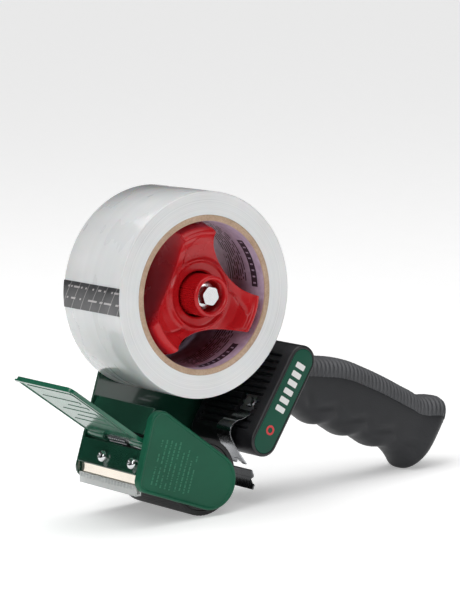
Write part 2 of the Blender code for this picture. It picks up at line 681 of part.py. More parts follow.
def brake_parts(root):
    axis = empty("brake_axis", 0.0, 0.0, ROLL_Z, root)
    cup = [(AXLE_HOLE_R, KNOB_CUP_FLOOR_Y), (KNOB_CUP_R, KNOB_CUP_FLOOR_Y), (KNOB_CUP_R, KNOB_FRONT_Y + 0.8),
           (KNOB_CUP_R + 0.8, KNOB_FRONT_Y), (KNOB_R - 0.7, KNOB_FRONT_Y), (KNOB_R, KNOB_FRONT_Y + 0.7),
           (KNOB_R, KNOB_BACK_Y), (AXLE_HOLE_R, KNOB_BACK_Y)]
    piece("brake_knob", lathe(bmesh.new(), cup, segments=40), RED_PLASTIC, axis)
    washer = tube_profile(AXLE_HOLE_R, 10.2, KNOB_BACK_Y + GAP, KNOB_BACK_Y + GAP + 1.2)
    piece("pressure_washer", lathe(bmesh.new(), washer, segments=32), BRIGHT_STEEL, axis)
    spring = coil(bmesh.new(), (0.0, 0.0), 8.8, 0.65, BRAKE_SPRING_Y, BOSS_FLOOR_Y - GAP, 4, 16)
    piece("brake_spring", spring, SPRING_STEEL, axis)
    return axis


# ---- housing, catch and guide --------------------------------------------------------------
def stadium(radius, steps=10):
    """Outline of the housing's end: two half circles joined by straight sides."""
    low, top = Vector(HOUSING_LOW), Vector(HOUSING_TOP)
    slope = math.degrees(math.atan2(top.y - low.y, top.x - low.x))
    points = arc(top.x, top.y, radius, slope - 90.0, slope + 90.0, steps)
    points += arc(low.x, low.y, radius, slope + 90.0, slope + 270.0, steps)
    return points


def housing_parts(root):
    y0, y1 = HOUSING_Y
    bm = bmesh.new()
    stations = ((y0, 1.0), (y0 + 0.5, 0.3), (y0 + 1.4, 0.0), (y1 - 3.6, 0.0), (y1 - 1.2, 0.9), (y1, 3.0))
    rings = []
    for y, inset in stations:
        rings.append([bm.verts.new((x, y, z)) for x, z in stadium(HOUSING_R - inset)])
    loft(bm, rings)
    housing = piece("housing", bm, BLACK_PLASTIC, root)
    cut(housing, prism(bmesh.new(), stadium(6.9), y0 - 1.0, y0 + 0.8))
    slots = bmesh.new()
    for i in range(GROOVES):
        v = (i - (GROOVES - 1) / 2) * GROOVE_PITCH
        groove(slots, v)
    cut(housing, slots)
    pocket = box_uv((-HOUSING_R - 1.0, -5.2), (-17.0, -1.0))
    cut(housing, prism(bmesh.new(), pocket, CATCH_Y[0] - 0.8, CATCH_Y[1] + 0.8))
    cut(housing, tang_box(GAP, -1.0, HOUSING_R + 1.0))
    pilots = bmesh.new()
    for share in HOUSING_SCREWS:
        rod(pilots, along_housing(share), 1.9, y1 - 11.0, y1 + 1.0, 12)
    cut(housing, pilots)
    badge = prism(bmesh.new(), stadium(6.6, 12), y0 + 0.1, y0 + 0.5)
    piece("side_badge", badge, GREEN_PLASTIC, root)
    for number, share in enumerate(HOUSING_SCREWS, 1):
        screw = headed_pin(bmesh.new(), along_housing(share), 1.6, 3.6, PLATE_OUT_Y + GAP + 2.0,
                           PLATE_OUT_Y + GAP, y1 - 10.0)
        piece(f"housing_screw_{number}", screw, BRIGHT_STEEL, root)
    return housing


def box_uv(across, along):
    """Rectangle in the housing's own axes."""
    (u0, u1), (v0, v1) = across, along
    return [housing_point(u0, v0), housing_point(u1, v0), housing_point(u1, v1), housing_point(u0, v1)]


def groove(bm, v):
    """One shallow slot across the front face, with half-round ends."""
    half = 0.85
    middle = GROOVE_HALF_Y - half
    ends = []
    for side in (1, -1):
        for k in range(5):
            a = math.radians(-90.0 + 45.0 * k)
            ends.append((side * (middle + half * math.cos(a)), side * half * math.sin(a)))
    rings = []
    for u in (-HOUSING_R - 1.0, -HOUSING_R + 1.1):
        ring = []
        for y, rise in ends:
            x, z = housing_point(u, v + rise)
            ring.append(bm.verts.new((x, y, z)))
        rings.append(ring)
    loft(bm, rings)


def catch_parts(root):
    """Spring-steel strap out of the housing's pocket, and the guide behind the roller."""
    elbow = housing_point(CATCH_U, -12.0)
    axis = empty("catch_axis", elbow[0], 0.0, elbow[1], root)
    seat = [housing_point(CATCH_U, -2.0), housing_point(CATCH_U, -11.2)]
    clip = piece("catch_clip", prism(bmesh.new(), strip(seat, 0.7), *CATCH_Y), SPRING_STEEL, root)
    leg = [elbow, (27.9, 45.2), (23.6, 45.0), (20.6, 43.2), (19.2, 40.4), (19.4, 37.2), (21.4, 32.6),
           (24.8, 27.0), (28.8, 21.4)]
    local = [(x - elbow[0], z - elbow[1]) for x, z in leg]
    strap = piece("catch_strap", prism(bmesh.new(), strip(local, 0.7), *CATCH_Y), SPRING_STEEL, axis)
    middle = (CATCH_Y[0] + CATCH_Y[1]) / 2
    x, z = leg[-1][0] - elbow[0], leg[-1][1] - elbow[1]
    notch = bmesh.new()
    lines = [(-4.0, -4.0), (4.0, -4.0), (0.0, 3.4)]
    rings = []
    for push in (-5.0, 5.0):
        ring = []
        for y, rise in lines:
            ring.append(notch.verts.new((x + push - rise * 0.58, middle + y, z + rise * 0.81)))
        rings.append(ring)
    loft(notch, rings)
    cut(strap, notch)
    hole = bmesh.new()
    loft(hole, [screw_ring(hole, 1.6, -3.0), screw_ring(hole, 1.6, 3.0)])
    cut(clip, hole)
    screw = bmesh.new()
    profile = ((2.6, 1.8), (2.8, 0.7), (1.3, 0.7), (1.3, -0.8))
    loft(screw, [screw_ring(screw, radius, distance) for radius, distance in profile])
    piece("catch_screw", screw, BRIGHT_STEEL, root)
    return axis


def screw_ring(bm, radius, distance, steps=12):
    """Ring of points square to the housing's front face, at the catch's screw."""
    middle = (CATCH_Y[0] + CATCH_Y[1]) / 2
    ring = []
    for k in range(steps):
        a = 2 * math.pi * k / steps
        x, z = housing_point(CATCH_U - distance, -6.2 + radius * math.cos(a))
        ring.append(bm.verts.new((x, middle + radius * math.sin(a), z)))
    return ring


def rear_guide(root):
    """Steel finger behind the roller, held by an upright tab on the side plate."""
    line = [(28.2, 19.0), (29.6, 15.0), (29.8, 11.6), (28.6, 8.6)]
    guide = piece("rear_guide", prism(bmesh.new(), strip(line, 0.8), -22.4, WEB_FAR_Y[1]), SPRING_STEEL, root)
    tab = [(19.6, 24.0), (28.3, 15.2), (29.9, 15.2), (28.6, 19.4), (27.2, 28.4), (21.6, 28.4)]
    join(guide, prism(bmesh.new(), tab, WEB_FAR_Y[0], WEB_FAR_Y[1]))
    notch = bmesh.new()
    near = [(-24.0, 18.6), (-24.0, 9.4), (-17.6, 13.6)]
    loft(notch, [[notch.verts.new((x, y, z)) for y, z in near] for x in (26.0, 32.0)])
    cut(guide, notch)
    cut(guide, rod(bmesh.new(), GUIDE_SCREW, 1.8, WEB_FAR_Y[0] - 1, WEB_FAR_Y[1] + 1, 12))
    seat = PLATE_OUT_Y + GAP
    screw = headed_pin(bmesh.new(), GUIDE_SCREW, 1.5, 2.9, seat + 1.3, seat, WEB_FAR_Y[0] - 1.0)
    piece("guide_screw", screw, BRIGHT_STEEL, root)
    return guide


# ---- handle --------------------------------------------------------------------------------
# sections across the handle: distance from the housing's middle, lowest and highest point
GRIP_SECTIONS = [
    (8.9, 1.0, 27.0), (14.0, 2.0, 29.4), (20.0, 3.0, 32.6), (28.8, 3.6, 36.5), (35.6, 3.3, 39.6),
    (42.3, 3.3, 42.0), (49.0, 6.4, 43.7), (56.6, 6.6, 44.9), (64.0, 7.0, 46.0), (71.0, 10.6, 46.8),
    (78.1, 10.8, 47.5), (85.6, 11.1, 48.1), (92.9, 14.3, 48.8), (98.5, 14.9, 49.0), (104.0, 13.9, 50.6),
    (109.0, 12.1, 53.2), (112.5, 10.633, 54.8), (115.2, 13.6, 55.3), (117.4, 17.6, 54.0), (118.9, 22.6, 51.0),
    (119.6, 27.4, 47.0),
]
STRAP_DEPTH = 9.7
GRIP_HALF_WIDTHS = [(8.9, 17.0), (20.0, 15.6), (49.0, 15.4), (78.0, 16.0), (100.0, 15.4), (112.5, 16.0),
                    (115.2, 15.2), (117.4, 13.2), (118.9, 10.6), (119.6, 7.8)]


def mix(table, u):
    """Straight-line reading of a table of (u, value)."""
    for (a, first), (b, second) in zip(table, table[1:]):
        if u <= b:
            return first + (second - first) * max(0.0, u - a) / (b - a)
    return table[-1][1]


def grip_half(u, v, low, high):
    """Half width of the handle at height v of a section: a rounded box."""
    middle, reach = (low + high) / 2, (high - low) / 2
    share = min(1.0, abs(v - middle) / reach)
    return mix(GRIP_HALF_WIDTHS, u) * (1.0 - share ** 3.2) ** (1 / 2.4)


def grip_ring(bm, u, low, high, v0, v1, steps):
    """Ring round the part of a section that lies between heights v0 and v1."""
    near, far = [], []
    for i in range(steps):
        t = 0.5 - 0.5 * math.cos(math.pi * i / (steps - 1))
        v = v0 + (v1 - v0) * t
        width = max(0.6, grip_half(u, v, low, high))
        x, z = housing_point(u, v)
        near.append((x, -width, z))
        far.append((x, width, z))
    return [bm.verts.new(p) for p in near + far[::-1]]


def tang_box(room, u0, u1):
    """The steel bar inside the handle, or the socket for it with some room."""
    outline = box_uv((u0, u1), (TANG_V[0] - room, TANG_V[1] + room))
    return prism(bmesh.new(), outline, -TANG_HALF_Y - room, TANG_HALF_Y + room)


def handle_parts(root):
    lower, upper = bmesh.new(), bmesh.new()
    lower_rings, upper_rings = [], []
    for u, low, high in GRIP_SECTIONS:
        split = max(high - STRAP_DEPTH, low + 0.35 * (high - low))
        lower_rings.append(grip_ring(lower, u, low, high, low, split - GAP / 2, 13))
        upper_rings.append(grip_ring(upper, u, low, high, split + GAP / 2, high, 9))
    loft(lower, lower_rings)
    loft(upper, upper_rings)
    grip = piece("grip", lower, SOFT_GRIP, root)
    cut(grip, tang_box(GAP, HOUSING_R - 1.0, TANG_U[1] + GAP))
    piece("grip_backstrap", upper, RIBBED_GRIP, root)
    piece("handle_tang", tang_box(0.0, *TANG_U), BRIGHT_STEEL, root, smooth=False)


def build():
    clear_scene()
    root = empty("dispenser_frame", ROLL_X_IN_FRAME, ROLL_Y_IN_FRAME)
    side_plate(root)
    near_cover(root)
    near_bracket(root)
    cross_band(root)
    front_panel(root)
    frame_screws(root)
    blade(root)
    blade_screws(root)
    blade_nuts(root)
    blade_guard(root)
    flap_parts(root)
    roller_parts(root)
    hub_parts(root)
    brake_parts(root)
    housing_parts(root)
    catch_parts(root)
    rear_guide(root)
    handle_parts(root)


build()
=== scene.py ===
"""Looks for the packing tape dispenser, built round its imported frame.

Shapes are drawn in millimetres in the same axes as the frame, measured from the middle of the roll
in X and Y and from the table in Z, and are turned into metres in the row frame by place().
"""

import math
import random

import bmesh
import bpy
from mathutils import Matrix, Vector

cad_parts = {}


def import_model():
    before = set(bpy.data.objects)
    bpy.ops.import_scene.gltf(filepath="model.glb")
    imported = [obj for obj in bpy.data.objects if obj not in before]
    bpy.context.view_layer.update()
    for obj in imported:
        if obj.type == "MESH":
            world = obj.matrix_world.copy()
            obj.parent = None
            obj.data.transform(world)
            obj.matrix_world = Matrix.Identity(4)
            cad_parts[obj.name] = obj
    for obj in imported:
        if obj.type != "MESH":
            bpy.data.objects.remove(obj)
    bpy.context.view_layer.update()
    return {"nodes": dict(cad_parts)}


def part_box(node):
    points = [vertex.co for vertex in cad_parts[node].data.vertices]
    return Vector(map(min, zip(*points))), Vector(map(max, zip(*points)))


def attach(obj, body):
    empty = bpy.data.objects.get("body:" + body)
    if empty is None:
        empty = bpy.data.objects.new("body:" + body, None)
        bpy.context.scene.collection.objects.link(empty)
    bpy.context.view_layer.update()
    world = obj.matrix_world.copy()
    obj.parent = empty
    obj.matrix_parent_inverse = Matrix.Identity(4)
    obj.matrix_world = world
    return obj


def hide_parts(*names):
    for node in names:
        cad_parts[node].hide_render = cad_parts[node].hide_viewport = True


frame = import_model()
MM = 0.001
ROLL = (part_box("tape_winding")[0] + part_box("tape_winding")[1]) / 2
ROLL_Z = ROLL.z / MM

# ---- sizes shared by several pieces (mm) ----
CORE_R = 38.1
CORE_OUTER_R = 41.1
TAPE_R = 53.2
HALF_WIDTH = 25.0
HUB_R = 37.5
WAIST_R = 19.8
FIRST_LOBE = 97.0
LOBE_HALF = 15.0
FLANK_ANGLE = 46.0
PLATE_IN_Y, PLATE_OUT_Y = 27.5, 29.0
CHEEK = [(-32.2, 52.4, 6.8), (-41.6, 24.3, 6.0), (-2.0, 18.6, 15.0)]
HOUSING_TOP, HOUSING_LOW = Vector((58.4, 73.4)), Vector((32.4, 34.9))
HOUSING_R = 8.5
HOUSING_Y = (-29.2, 27.2)
ROLLER_AXIS = (-3.5, 20.2)
ROLLER_R = 20.2
ROLLER_Y = (-23.8, 26.2)
FLAP_PIN = Vector((-38.3, 42.2))
FLAP_LENGTH, FLAP_ANGLE = 57.0, 37.1
FLAP_Y = (-24.6, 26.2)
BAND_LINE = [(-32.9, 60.2), (-36.2, 54.9), (-40.3, 47.6)]
PANEL_LINE = [(-42.0, 39.8), (-45.6, 29.2), (-47.0, 27.9)]
BAND_SCREWS = [(-31.4, 54.2), (-34.8, 48.2)]
PANEL_SCREW = (-38.4, 36.4)
GUIDE_SCREW = (24.0, 24.6)
CATCH_Y = (-17.5, -5.5)
CATCH_U = -6.3                  # depth of the catch's seat, in the housing's own axes
SHEET = 1.2                     # thickness of the cross pieces
LEAF = 0.7                      # thickness of the spring steel
NEAR_TAB_Y = (-24.7, -23.6)     # screw tabs of the cross pieces, beside the near bracket
FAR_TAB_Y = (26.1, 27.2)        # and beside the side plate
CROSS_Y = (NEAR_TAB_Y[0], FAR_TAB_Y[1])
GROOVES, GROOVE_PITCH, GROOVE_HALF_Y = 12, 3.87, 21.5
TOOTH_PITCH, TEETH = 2.8, 18
HEX_CHAMFER = 0.9


def place(x, y, z):
    return Vector((ROLL.x + x * MM, ROLL.y + y * MM, z * MM))


# ---- materials ----
class Nodes:
    """Short hand for building one node material."""

    def __init__(self, name):
        self.mat = bpy.data.materials.new(name)
        self.mat.use_nodes = True
        self.tree = self.mat.node_tree
        self.shader = self.tree.nodes["Principled BSDF"]
        self.coords = self.tree.nodes.new("ShaderNodeTexCoord").outputs["Object"]

    def add(self, kind, inputs=(), **settings):
        node = self.tree.nodes.new(kind)
        for key, value in settings.items():
            setattr(node, key, value)
        for key, value in dict(inputs).items():
            self.feed(node.inputs[key], value)
        return node

    def feed(self, socket, value):
        """Link another node's output to a socket, or set the socket's own value."""
        if isinstance(value, bpy.types.NodeSocket):
            self.tree.links.new(value, socket)
        else:
            socket.default_value = value

    def math(self, operation, a, b=0.0):
        return self.add("ShaderNodeMath", {0: a, 1: b}, operation=operation).outputs[0]

    def plus(self, a, b):
        return self.math("ADD", a, b)

    def times(self, a, b):
        return self.math("MULTIPLY", a, b)

    def noise(self, scale, detail=3.0, stretch=None, roughness=0.5):
        vector = self.coords
        if stretch:
            vector = self.add("ShaderNodeMapping", {"Vector": vector, "Scale": stretch}).outputs[0]
        found = self.add("ShaderNodeTexNoise", {"Vector": vector, "Scale": scale, "Detail": detail,
                                                "Roughness": roughness})
        return found.outputs["Fac"]

    def spread(self, value, low, high, start=0.3, end=0.7):
        made = self.add("ShaderNodeMapRange", {"Value": value, "From Min": start, "From Max": end,
                                               "To Min": low, "To Max": high})
        return made.outputs["Result"]

    def mix(self, factor, a, b):
        made = self.add("ShaderNodeMix", {"Factor": factor}, data_type="RGBA")
        for number, colour in ((6, a), (7, b)):
            self.feed(made.inputs[number], (*colour, 1.0) if isinstance(colour, tuple) else colour)
        return made.outputs[2]

    def bump(self, height, strength, distance):
        made = self.add("ShaderNodeBump", {"Height": height, "Strength": strength,
                                           "Distance": distance})
        return made.outputs["Normal"]

    def put(self, **sockets):
        for key, value in sockets.items():
            self.feed(self.shader.inputs[key.replace("_", " ")], value)
        return self.mat


def tint(colour, share):
    return tuple(min(1.0, c * share) for c in colour)


def moulded(name, colour, rough, grain, grain_scale=2600.0, variation=0.12, **extra):
    """Plastic, rubber or paint: slow colour and gloss changes over a fine surface grain."""
    n = Nodes(name)
    cloud = n.noise(45.0, 4.0)
    fine = n.noise(grain_scale, 2.0)
    darker, lighter = tint(colour, 1 - variation), tint(colour, 1 + variation)
    return n.put(Base_Color=n.mix(n.spread(cloud, 0.0, 1.0), darker, lighter),
                 Roughness=n.spread(cloud, rough - 0.04, rough + 0.05),
                 Normal=n.bump(fine, grain, 0.0002), **extra)


def metal(name, colour, rough, stretch=(1.0, 60.0, 1.0), strength=0.15, **extra):
    """Bare metal with rolling marks along one direction."""
    n = Nodes(name)
    marks = n.noise(160.0, 4.0, stretch=stretch)
    cloud = n.noise(60.0, 3.0)
    return n.put(Base_Color=n.mix(n.spread(cloud, 0.0, 1.0), tint(colour, 0.9), colour),
                 Metallic=1.0, Roughness=n.spread(marks, rough - 0.05, rough + 0.09),
                 Normal=n.bump(marks, strength, 0.00005), **extra)


def from_roll(n):
    """Position measured from the middle of the roll, in metres."""
    moved = n.add("ShaderNodeMapping", {"Vector": n.coords, "Location": (-ROLL.x, -ROLL.y, -ROLL.z)})
    return n.add("ShaderNodeSeparateXYZ", {"Vector": moved.outputs[0]}).outputs


def along_line(n, value, scale, detail):
    """Noise that changes with one value only."""
    return n.add("ShaderNodeTexNoise", {"W": value, "Scale": scale, "Detail": detail},
                 noise_dimensions="1D").outputs["Fac"]


def blended(n, a, share_a, b, share_b):
    return n.plus(n.times(a, share_a), n.times(b, share_b))


def film(name):
    """Side and outside of the wound film: milky, glossy, with faint growth rings."""
    n = Nodes(name)
    xyz = from_roll(n)
    square = n.plus(n.times(xyz[0], xyz[0]), n.times(xyz[2], xyz[2]))
    rings = along_line(n, n.math("SQRT", square), 1500.0, 3.0)
    bands = along_line(n, xyz[1], 160.0, 2.0)
    both = blended(n, rings, 0.6, bands, 0.4)
    tone = blended(n, both, 0.5, n.noise(28.0, 2.0), 0.5)
    milky = n.mix(n.spread(tone, 0.0, 1.0, 0.35, 0.65), (0.70, 0.715, 0.72), (0.86, 0.865, 0.865))
    return n.put(Base_Color=milky, Roughness=n.spread(tone, 0.24, 0.36), Coat_Weight=0.7,
                 Coat_Roughness=0.07, Normal=n.bump(both, 0.25, 0.00008), Subsurface_Weight=0.12,
                 Subsurface_Scale=0.004)


def board(name):
    """Wound grey board: thin plies round the axis and short fibres."""
    n = Nodes(name)
    fibres = n.noise(900.0, 5.0, roughness=0.7)
    tone = blended(n, fibres, 0.6, n.noise(120.0, 3.0), 0.4)
    brown = n.mix(n.spread(tone, 0.0, 1.0, 0.35, 0.65), (0.42, 0.285, 0.19), (0.60, 0.44, 0.32))
    return n.put(Base_Color=brown, Roughness=0.9, Normal=n.bump(fibres, 0.5, 0.0002))


def cylinder_coords(n):
    """Distance round the core's bore and along it, in mm."""
    xyz = from_roll(n)
    turn = n.times(n.math("ARCTAN2", xyz[2], xyz[0]), CORE_R)
    return turn, n.times(xyz[1], 1 / MM)


def within(n, value, low, high):
    return n.times(n.math("GREATER_THAN", value, low), n.math("LESS_THAN", value, high))


def repeat(n, value, pitch):
    """Share of the way through each pitch, 0 to 1."""
    return n.math("FRACT", n.math("DIVIDE", value, pitch))


def dashes(n, along, across, cell, row, fill=0.5, share=0.3):
    """Rows of broken strokes, like greeked print, with no letters in them."""
    line = n.math("FLOOR", n.math("DIVIDE", across, row))
    in_line = n.math("LESS_THAN", repeat(n, across, row), fill)
    stroke = n.math("FLOOR", n.math("DIVIDE", along, cell))
    cell_at = n.add("ShaderNodeCombineXYZ", {0: stroke, 1: line}).outputs[0]
    chance = n.add("ShaderNodeTexWhiteNoise", {"Vector": cell_at}, noise_dimensions="2D")
    return n.times(in_line, n.math("GREATER_THAN", chance.outputs["Value"], share))


def liner(name):
    """Paper inside the core: lilac, with blocks of greeked print and dark bands."""
    n = Nodes(name)
    turn, along = cylinder_coords(n)
    period = repeat(n, n.plus(turn, 300.0), 59.9)
    block = dashes(n, turn, along, cell=1.3, row=1.9, fill=0.45, share=0.22)
    text = n.times(block, within(n, period, 0.04, 0.9))
    text = n.times(text, within(n, along, -10.5, 6.0))
    band = n.times(within(n, period, 0.0, 0.46), within(n, along, -19.0, -14.0))
    holes = n.times(within(n, repeat(n, turn, 3.4), 0.3, 0.55), within(n, along, -17.6, -15.4))
    ink = n.math("MAXIMUM", text, n.math("SUBTRACT", band, holes))
    paper = n.mix(n.spread(n.noise(300.0, 4.0), 0.0, 1.0), (0.44, 0.34, 0.48), (0.58, 0.48, 0.62))
    return n.put(Base_Color=n.mix(ink, paper, (0.035, 0.02, 0.035)), Roughness=0.55,
                 Normal=n.bump(n.noise(1500.0, 3.0), 0.2, 0.0001))


def tab_print(name):
    """Starter tab: charcoal, slanted grey rules and small pale strokes."""
    n = Nodes(name)
    xyz = from_roll(n)
    across = n.times(xyz[1], 1 / MM)
    rise = n.times(xyz[2], 1 / MM)
    slant = n.plus(across, n.times(rise, 0.65))
    rule = n.math("LESS_THAN", repeat(n, n.plus(slant, 100.0), 8.2), 0.07)
    strokes = dashes(n, slant, n.plus(rise, 60.0), cell=1.3, row=6.0, fill=0.16, share=0.62)
    strokes = n.times(strokes, within(n, rise, -4.0, 7.5))
    ink = n.math("MAXIMUM", n.times(rule, 0.3), n.times(strokes, 0.6))
    dark = n.mix(n.spread(n.noise(90.0, 3.0), 0.0, 1.0), (0.018, 0.018, 0.02), (0.06, 0.06, 0.065))
    return n.put(Base_Color=n.mix(ink, dark, (0.72, 0.68, 0.68)), Roughness=0.32, Coat_Weight=0.6,
                 Coat_Roughness=0.08)


GREEN_STEEL = moulded("enamelled_steel", (0.008, 0.062, 0.036), 0.2, 0.02, 500.0, 0.15,
                      Coat_Weight=0.8, Coat_Roughness=0.06)
GREEN_PLASTIC = moulded("green_plastic", (0.009, 0.105, 0.056), 0.36, 0.25,
                        Specular_IOR_Level=0.22)
FLAP_PLASTIC = moulded("flap_plastic", (0.012, 0.12, 0.066), 0.22, 0.0, Coat_Weight=0.5,
                       Coat_Roughness=0.12)
# lighter green than the cover: a painted highlight on the raised strokes
MARKS_PAINTED_HIGHLIGHT = moulded("raised_marks_painted_highlight", (0.035, 0.20, 0.115), 0.4, 0.2, Specular_IOR_Level=0.3)
BADGE_GREEN = moulded("badge_green", (0.006, 0.075, 0.045), 0.3, 0.1, Specular_IOR_Level=0.2)
BADGE_WHITE = moulded("badge_white", (0.80, 0.80, 0.79), 0.35, 0.05, variation=0.03)
BADGE_RED = moulded("badge_red", (0.62, 0.03, 0.035), 0.35, 0.05)
BLACK_PLASTIC = moulded("black_plastic", (0.012, 0.012, 0.014), 0.33, 0.4, 1900.0, 0.2)
SOFT_GRIP = moulded("soft_grip", (0.024, 0.025, 0.028), 0.5, 0.5, 1500.0, 0.15,
                    Specular_IOR_Level=0.3)
RIBBED_GRIP = moulded("ribbed_grip", (0.075, 0.077, 0.083), 0.5, 0.35, 1500.0, 0.15)
RED_PLASTIC = moulded("red_plastic", (0.50, 0.008, 0.012), 0.27, 0.03, 900.0, 0.08,
                      Coat_Weight=0.12, Coat_Roughness=0.12, Specular_IOR_Level=0.35)
RUBBER = moulded("black_rubber", (0.017, 0.017, 0.018), 0.62, 0.5, 1300.0, 0.25)
NYLON = moulded("white_nylon", (0.72, 0.72, 0.69), 0.42, 0.15)
BRIGHT = metal("bright_steel", (0.70, 0.71, 0.72), 0.16)
SPRING = metal("spring_steel", (0.50, 0.51, 0.53), 0.18)
# blade steel tinted warm cream: a painted reflection of the cream surroundings in the mirror-bright
# blade
BLADE_PAINTED_REFLECTION = metal("blade_steel", (0.86, 0.79, 0.69), 0.1, strength=0.08)
DARK_STEEL = metal("blackened_steel", (0.16, 0.165, 0.17), 0.22)
# mid grey, darker than the clear guard: painted shade lines on the guard's ribs
GUARD_RIB_SHADE = moulded("guard_rib_painted_shade", (0.42, 0.44, 0.44), 0.2, 0.05)
BRONZE = metal("sintered_bronze", (0.55, 0.36, 0.16), 0.4)
CLEAR = moulded("clear_plastic", (0.80, 0.82, 0.81), 0.14, 0.05, variation=0.02,
                Transmission_Weight=0.35, IOR=1.46, Alpha=0.85)
FILM = film("tape_film")
BOARD = board("core_board")
LINER = liner("core_paper")
TAB = tab_print("starter_print")
FLOOR = moulded("studio_floor", (0.92, 0.92, 0.92), 0.85, 0.05, 60.0, 0.01,
                Specular_IOR_Level=0.1, Emission_Color=(1.0, 1.0, 1.0, 1.0),
                Emission_Strength=0.34)


# ---- outlines: lists of (x, z) ----
def arc(cx, cz, radius, start, end, steps):
    points = []
    for i in range(steps + 1):
        a = math.radians(start + (end - start) * i / steps)
        points.append((cx + radius * math.cos(a), cz + radius * math.sin(a)))
    return points


def circle(cx, cz, radius, steps=32):
    return arc(cx, cz, radius, 0.0, 360.0, steps)[:-1]


def hull_of_circles(circles, step=4.0):
    """Convex outline round a set of circles, anticlockwise."""
    points = []
    for cx, cz, radius in circles:
        points += circle(cx, cz, radius, int(360 / step))
    points = sorted(set((round(x, 4), round(z, 4)) for x, z in points))

    def half(sequence):
        chain = []
        for p in sequence:
            while len(chain) > 1:
                (ax, az), (bx, bz) = chain[-2], chain[-1]
                if (bx - ax) * (p[1] - az) - (bz - az) * (p[0] - ax) > 1e-6:
                    break
                chain.pop()
            chain.append(p)
        return chain[:-1]

    return half(points) + half(reversed(points))


def offset(points, distance):
    """Move a closed anticlockwise outline outwards by a distance, inwards if negative."""
    result = []
    for i, here in enumerate(points):
        here = Vector(here)
        a = (here - Vector(points[i - 1])).normalized()
        b = (Vector(points[(i + 1) % len(points)]) - here).normalized()
        normal = Vector((a.y + b.y, -a.x - b.x)).normalized()
        result.append(tuple(here + normal * (distance / max(0.4, normal.dot(Vector((a.y, -a.x)))))))
    return result


def rounded(line, radius, steps=6):
    """Round the inner corners of an open line."""
    points = [tuple(line[0])]
    for before, here, after in zip(line, line[1:], line[2:]):
        before, here, after = Vector(before), Vector(here), Vector(after)
        reach = min(radius, 0.45 * (here - before).length, 0.45 * (after - here).length)
        start = here + (before - here).normalized() * reach
        end = here + (after - here).normalized() * reach
        for i in range(steps + 1):
            t = i / steps
            points.append(tuple(start * (1 - t) ** 2 + here * (2 * t * (1 - t)) + end * t ** 2))
    return points + [tuple(line[-1])]


def strip(line, thick):
    """Outline of a bent sheet: a centre line given a thickness."""
    left, right = [], []
    last = len(line) - 1
    for i, here in enumerate(line):
        here = Vector(here)
        a = (here - Vector(line[i - 1])).normalized() if i else None
        b = (Vector(line[i + 1]) - here).normalized() if i < last else None
        a, b = a or b, b or a
        normal = Vector((-a.y - b.y, a.x + b.x)).normalized()
        reach = thick / 2 / max(0.5, normal.dot(Vector((-a.y, a.x))))
        left.append(tuple(here + normal * reach))
        right.append(tuple(here - normal * reach))
    return left + right[::-1]


def housing_point(u, v):
    """Housing axes: u across it towards the handle, v up along it, from its middle."""
    up = (HOUSING_TOP - HOUSING_LOW).normalized()
    across = Vector((up.y, -up.x))
    return (HOUSING_TOP + HOUSING_LOW) / 2 + across * u + up * v


def stadium(radius, steps=24, straight=10):
    """Outline of the housing's end: two half circles joined by divided straight sides."""
    slope = math.degrees(math.atan2(HOUSING_TOP.y - HOUSING_LOW.y, HOUSING_TOP.x - HOUSING_LOW.x))
    first = arc(*HOUSING_TOP, radius, slope - 90.0, slope + 90.0, steps)
    second = arc(*HOUSING_LOW, radius, slope + 90.0, slope + 270.0, steps)

    def between(a, b):
        return [tuple(Vector(a).lerp(Vector(b), i / straight)) for i in range(1, straight)]

    return first + between(first[-1], second[0]) + second + between(second[-1], first[0])


# ---- solids ----
def loft(bm, rings, loop=False):
    """Skin between rings of vertices, with capped ends or joined into a loop."""
    for ring, following in zip(rings, rings[1:] + rings[:1] if loop else rings[1:]):
        for i in range(len(ring)):
            bm.faces.new((ring[i - 1], ring[i], following[i], following[i - 1]))
    if not loop:
        bm.faces.new(rings[0][::-1])
        bm.faces.new(rings[-1])
    return bm


def layer(bm, outline, y):
    return [bm.verts.new((x, y, z)) for x, z in outline]


def prism(bm, outline, y0, y1):
    return loft(bm, [layer(bm, outline, y0), layer(bm, outline, y1)])


def axes_for(direction):
    """Two unit vectors square to a direction."""
    direction = Vector(direction).normalized()
    first = direction.orthogonal().normalized()
    return direction, first, direction.cross(first)


def turned(bm, profile, centre, direction=(0.0, 1.0, 0.0), segments=48, reach=None):
    """Turn a closed (radius, distance) profile about any axis.

    reach(radius, distance, angle), if given, says the radius to use instead.
    """
    direction, first, second = axes_for(direction)
    rings = []
    for k in range(segments):
        a = 2 * math.pi * k / segments
        out = first * math.cos(a) + second * math.sin(a)
        rings.append([bm.verts.new(Vector(centre) + direction * distance
                                   + out * (reach(radius, distance, a) if reach else radius))
                      for radius, distance in profile])
    return loft(bm, rings, loop=True)


def tube(inner, outer, y0, y1, soft=0.2):
    """Profile of a ring with softened outer and inner corners."""
    part = soft * 0.3
    return [(inner + soft, y0), (outer - soft, y0), (outer - part, y0 + part), (outer, y0 + soft),
            (outer, y1 - soft), (outer - part, y1 - part), (outer - soft, y1), (inner + soft, y1),
            (inner + part, y1 - part), (inner, y1 - soft), (inner, y0 + soft),
            (inner + part, y0 + part)]


def linked(name, data):
    obj = bpy.data.objects.new(name, data)
    bpy.context.collection.objects.link(obj)
    return obj


def placed(name, bm):
    """Object in metres from a mesh drawn in mm."""
    bmesh.ops.recalc_face_normals(bm, faces=bm.faces)
    for vertex in bm.verts:
        vertex.co = place(*vertex.co)
    mesh = bpy.data.meshes.new(name)
    bm.to_mesh(mesh)
    bm.free()
    return linked(name, mesh)


